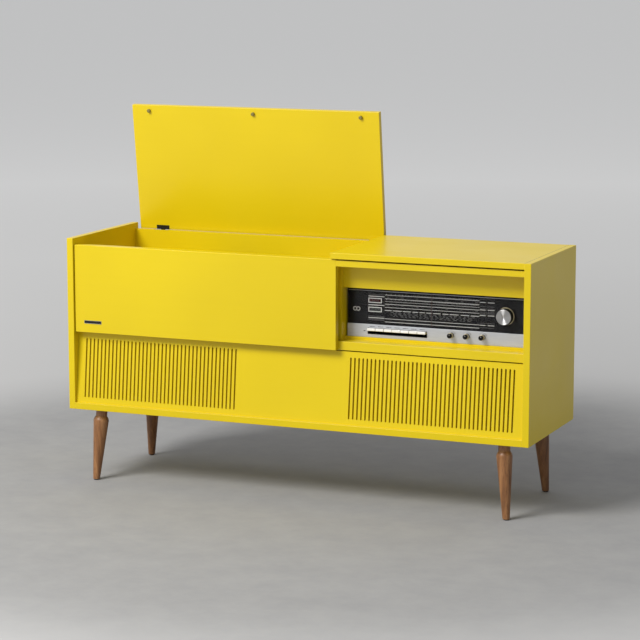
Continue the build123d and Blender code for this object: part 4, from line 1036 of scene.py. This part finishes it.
# %% The arm
arm_low, arm_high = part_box("tonearm")
arm_x = (arm_low[0] + arm_high[0]) / 2
post_low, post_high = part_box("tonearm_bearing")
arm_y = (post_low[1] + post_high[1]) / 2
arm_z = post_high[2] - 7 * MM
head_front = arm_low[1]
tail_end = arm_high[1]
tube = bmesh.new()
tube_length = (tail_end - head_front) / MM - 55
tube_outline = [
    (0, 0), (4.0, 0), (4.4, 0.8), (4.4, tube_length - 0.8), (4.0, tube_length), (0, tube_length),
]
add_turned(tube, scaled(tube_outline), frame_at((arm_x, tail_end - 25 * MM, arm_z), (0, -1, 0)), 40)
for start, width in ((head_front + 34 * MM, 2.0), (head_front + 39 * MM, 1.2)):
    add_turned(
        tube, scaled([(4.3, 0), (5.1, 0.3), (5.1, width - 0.3), (4.3, width)]),
        frame_at((arm_x, start, arm_z), (0, 1, 0)), 40, closed=True,
    )
arm_piece = as_piece(tube, "arm_tube", bright_steel, "tonearm")
boxed_piece(
    "arm_yoke", (arm_x - 7.8 * MM, arm_y - 6.9 * MM, arm_z - 5.9 * MM),
    (arm_x + 7.8 * MM, arm_y + 6.9 * MM, arm_z + 5.9 * MM), black_plastic, "tonearm",
    1.2 * MM, 3,
)
shell = bmesh.new()
add_box(
    shell, (arm_x - 8.9 * MM, head_front + 0.1 * MM, arm_z - 4.9 * MM),
    (arm_x + 8.9 * MM, head_front + 33.9 * MM, arm_z + 4.9 * MM), 2.6 * MM, 4,
)
add_box(
    shell, (arm_x + 7.5 * MM, head_front + 3 * MM, arm_z + 1.6 * MM),
    (arm_x + 8.95 * MM, head_front + 12 * MM, arm_z + 4.8 * MM), 0.6 * MM, 2,
)
as_piece(shell, "head_shell", ivory_plastic, "tonearm")
cartridge = bmesh.new()
add_box(
    cartridge, (arm_x - 5.9 * MM, head_front + 4.2 * MM, arm_low[2] + 2.1 * MM),
    (arm_x + 5.9 * MM, head_front + 21.8 * MM, arm_z - 4.0 * MM), 0.8 * MM, 2,
)
stylus = [(0, 0), (0.10, 0.1), (0.5, 1.6), (0.55, 6.0), (0, 6.0)]
add_turned(cartridge, scaled(stylus), Matrix.Translation((arm_x, head_front + 8 * MM, arm_low[2])), 20)
as_piece(cartridge, "cartridge", black_plastic, "tonearm")
weight = bmesh.new()
weight_outline = [
    (0, 0), (10.6, 0), (11.6, 0.9), (11.6, 9.4), (10.9, 9.9), (10.9, 11.4), (11.8, 11.9), (11.8, 23.2),
    (11.0, 23.9), (0, 23.9),
]
weight_verts = add_turned(weight, scaled(weight_outline), Matrix.Identity(4), 80)
rib_every_other(weight, weight_verts, 11.7 * MM, 80, 0.97)
bmesh.ops.transform(weight, matrix=frame_at((arm_x, tail_end, arm_z), (0, -1, 0)), verts=weight.verts[:])
as_piece(weight, "counterweight", bright_steel, "tonearm", crease=20)
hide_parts("tonearm")
finish_nodes(zinc, ["tonearm_bearing"])
print("arm", round((tail_end - head_front) / MM), "mm long")

# %% [markdown]
# ## The joint beside the top
#
# The top panel meets the right side panel in a joint that shows as a dark hairline. The line is painted
# shade: a strip of darker lacquer under a millimetre wide, standing in for the shade in the joint, that
# barely stands out.

# %% Painted shade in the joint
top_low, top_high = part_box("top_panel")
# A strip of darker lacquer along the joint: painted shade for the joint line.
joint_shade_colour = make_lacquer("painted_joint_shade", (0.20, 0.145, 0.004), (0.27, 0.20, 0.006), "Y")
boxed_piece(
    "painted_joint_shade", (top_high[0] - 0.6 * MM, top_low[1] + 1 * MM, top_high[2] - 0.6 * MM),
    (top_high[0] + 0.6 * MM, top_high[1] - 1 * MM, top_high[2] + 0.06 * MM), joint_shade_colour, "cabinet",
)
print("joint filler", round((top_high[1] - top_low[1]) / MM), "mm long")

# %% [markdown]
# ## The player's plate
#
# A pressed steel plate in cream hammer enamel holds the player. A plain sheet would look like card, so a
# round bead runs along its edge, as the press leaves it, and the speed switch has its ordinary figures.

# %% Plate bead and speed figures
plate_box_low, plate_box_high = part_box("player_plate")
BEAD = 1.6 * MM
BEAD_INSET = 7 * MM
bead = bmesh.new()
bead_low = (plate_box_low[0] + BEAD_INSET, plate_box_low[1] + BEAD_INSET, plate_box_high[2] - 0.3 * MM)
bead_high = (plate_box_high[0] - BEAD_INSET, plate_box_high[1] - BEAD_INSET, plate_box_high[2] + 0.7 * MM)
size = [bead_high[i] - bead_low[i] for i in range(3)]
middle = [(bead_high[i] + bead_low[i]) / 2 for i in range(3)]
bmesh.ops.create_cube(bead, size=1, matrix=Matrix.Translation(middle) @ Matrix.Diagonal((*size, 1)))
upright = [e for e in bead.edges if abs(e.verts[0].co.z - e.verts[1].co.z) > size[2] / 2]
bmesh.ops.bevel(
    bead, geom=upright, offset=11 * MM, offset_type="OFFSET", segments=8, profile=0.5, affect="EDGES",
    material=-1,
)
caps = [f for f in bead.faces if abs(f.normal.z) > 0.9]
bmesh.ops.inset_region(bead, faces=caps, thickness=2 * BEAD, depth=0)
inner = [f for f in bead.faces if abs(f.normal.z) > 0.9 and f.calc_area() > 0.01]
bmesh.ops.delete(bead, geom=inner, context="FACES")
rims = [e for e in bead.edges if e.is_boundary]
bmesh.ops.bridge_loops(bead, edges=rims)
raised = bead_high[2] - 0.01 * MM
ridge = [e for e in bead.edges if all(v.co.z > raised for v in e.verts) and not e.is_boundary]
bmesh.ops.bevel(
    bead, geom=ridge, offset=0.5 * MM, offset_type="OFFSET", segments=3, profile=0.5, affect="EDGES",
    material=-1, clamp_overlap=True,
)
as_piece(bead, "plate_bead", enamel, "cabinet")

lay_flat = Matrix.Rotation(-math.pi / 2, 3, "X")
speed = bmesh.new()
switch_middle = middle_of("player_switch")
for index, number in enumerate((16, 33, 45, 78)):
    x = switch_middle.x + (index - 1.5) * 9 * MM
    place = Vector((x, switch_middle.y + 14 * MM, plate_box_high[2] + PRINT))
    curve = bmesh.new()
    add_figures(curve, str(number), (0, 0, 0), 5.0 * MM)
    bmesh.ops.rotate(curve, verts=curve.verts[:], cent=(0, 0, 0), matrix=lay_flat)
    bmesh.ops.translate(curve, verts=curve.verts[:], vec=place)
    made = bpy.data.meshes.new("speed")
    curve.to_mesh(made)
    curve.free()
    speed.from_mesh(made)
    bpy.data.meshes.remove(made)
bmesh.ops.remove_doubles(speed, verts=speed.verts[:], dist=1e-6)
as_piece(speed, "speed_figures", print_black, "cabinet", smooth=False, solid=False)
print("plate bead and speed figures")

# %% [markdown]
# ## Slots of the cover's screws and pins of the inlet
#
# The hardboard back is held by domed screws, and below its vents a small plate takes the loudspeaker
# and aerial plugs and the mains lead. Each screw gets a straight slot, turned at random as a hand leaves
# it: the slot is not cut, but is a thin dark bar on the head, painted shade for its recess. The mains
# inlet gets its two brass pins.

# %% Back details
screw_mesh = nodes["rear_cover_screws"].data
cover_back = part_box("rear_cover")[1][1]
heads = bmesh.new()
heads.from_mesh(screw_mesh)
bmesh.ops.remove_doubles(heads, verts=heads.verts[:], dist=1e-6)
# Dark bars on the heads: painted shade where each slot's recess would be.
slots = bmesh.new()
slot_size = Matrix.Diagonal((4.6 * MM, 0.5 * MM, 0.7 * MM, 1))
seen = []
for v in heads.verts:
    if v.co.y > cover_back + 1.7 * MM and not any((v.co - s).length < 8 * MM for s in seen):
        near = [w.co for w in heads.verts if (w.co - v.co).length < 8 * MM and w.co.y > cover_back]
        middle = sum(near, Vector()) / len(near)
        seen.append(v.co.copy())
        place = Matrix.Translation((middle.x, cover_back + 1.62 * MM, middle.z))
        turn = Matrix.Rotation(random.uniform(0, 3.1), 4, "Y")
        bmesh.ops.create_cube(slots, size=1, matrix=place @ turn @ slot_size)
heads.free()
as_piece(slots, "screw_slot_painted_shade", black_steel, "cabinet", smooth=False)

socket_low, socket_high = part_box("socket_plate")
socket_z = (socket_low[2] + socket_high[2]) / 2
pins = bmesh.new()
for shift in (-5, 5):
    x = (socket_low[0] + socket_high[0]) / 2 + (35 + shift) * MM
    outline = [(0, 0), (1.6, 0), (1.6, 5.0), (1.2, 5.6), (0, 5.7)]
    add_turned(pins, scaled(outline), frame_at((x, socket_high[1] - 6.0 * MM, socket_z), (0, 1, 0)), 24)
as_piece(pins, "inlet_pins", brass, "cabinet")
print("screw slots", len(seen))

# %% [markdown]
# ## Floor and light
#
# A pale floor and soft lights show the form. The key light stands to the left of the camera and well
# above it, so the front throws an edge of shade into the radio's bay and the right side falls darker.
# The floor is darker near the console and turns paler further off. The paler far floor is painted light
# that makes up for the key light falling off there, so the floor does not look dark behind the console as
# one of a single tone would; the darker near tone is partly painted shade around and under the console.
# The world is brighter on one side than the other, like a room with one white wall. There is no wall,
# because it would stand in the way of a view from behind.

# %% Floor and light
FLOOR_SIZE = 400.0
floor_mesh = bmesh.new()
bmesh.ops.create_grid(floor_mesh, x_segments=1, y_segments=1, size=FLOOR_SIZE / 2)
floor_material, floor_shader, floor_add = new_material("floor")
floor_where = object_coordinates(floor_add)
cloud = noise(floor_add, floor_where, 9, 6.0, 0.7)
# Darker near the console: partly painted shade around and under it.
near_tone = ramp(floor_add, cloud, [(0.35, (0.295, 0.296, 0.299)), (0.65, (0.325, 0.325, 0.325))])
away = floor_add("ShaderNodeVectorMath", operation="LENGTH")
link(floor_where, away.inputs[0])
painted_light_fade = floor_add("ShaderNodeMapRange", interpolation_type="SMOOTHSTEP")
painted_light_fade.inputs["From Min"].default_value = 1.15
painted_light_fade.inputs["From Max"].default_value = 1.9
link(away.outputs["Value"], painted_light_fade.inputs["Value"])
far = floor_add("ShaderNodeMapRange")
far.inputs["From Max"].default_value = 8.0
link(away.outputs["Value"], far.inputs["Value"])
# Paler further off: painted light for the key light's fall-off.
pale = ramp(
    floor_add, far.outputs["Result"],
    [
        (0.22, (0.50, 0.50, 0.50)), (0.39, (0.63, 0.63, 0.628)), (0.58, (0.76, 0.76, 0.757)),
        (1.0, (0.96, 0.96, 0.955)),
    ],
)
floor_with_painted_light = mix(floor_add, painted_light_fade.outputs["Result"], near_tone, pale)
link(floor_with_painted_light, floor_shader.inputs["Base Color"])
floor_shader.inputs["Roughness"].default_value = 0.85
floor_shader.inputs["Specular IOR Level"].default_value = 0.2
floor_data = bpy.data.meshes.new("floor")
floor_mesh.to_mesh(floor_data)
floor_mesh.free()
floor_data.materials.append(floor_material)
floor = bpy.data.objects.new("floor", floor_data)
scene.collection.objects.link(floor)
floor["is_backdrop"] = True

world = bpy.data.worlds.new("studio")
scene.world = world
world.use_nodes = True
sky = world.node_tree
direction = sky.nodes.new("ShaderNodeTexCoord")
parts = sky.nodes.new("ShaderNodeSeparateXYZ")
across = sky.nodes.new("ShaderNodeMapRange")
across.inputs["From Min"].default_value = 0.15
across.inputs["From Max"].default_value = 0.85
across.inputs["To Min"].default_value = 0.64
across.inputs["To Max"].default_value = 0.22
link(direction.outputs["Generated"], parts.inputs["Vector"])
link(parts.outputs["X"], across.inputs["Value"])
link(across.outputs["Result"], sky.nodes["Background"].inputs["Strength"])
sky.nodes["Background"].inputs["Color"].default_value = (0.985, 0.99, 1.0, 1)


def add_light(name, heading, height, distance, size, power, colour=(1, 1, 1)):
    """A square soft light that looks at the middle of the console."""
    data = bpy.data.lights.new(name, "AREA")
    data.shape = "SQUARE"
    data.size = size
    data.energy = power
    data.color = colour
    light = bpy.data.objects.new(name, data)
    scene.collection.objects.link(light)
    aim = Vector((0, 0, 0.5))
    towards = view_direction(heading, height)
    light.location = aim + towards * distance
    light.rotation_mode = "QUATERNION"
    light.rotation_quaternion = (-towards).to_track_quat("-Z", "Y")


add_light("key", -28, 42, 6.0, 2.3, 365, (1.0, 0.985, 0.96))

# %% [markdown]
# ## The finished console
#
# The last cell measures the bounds of the visual model.

# %% Finish
low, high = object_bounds()
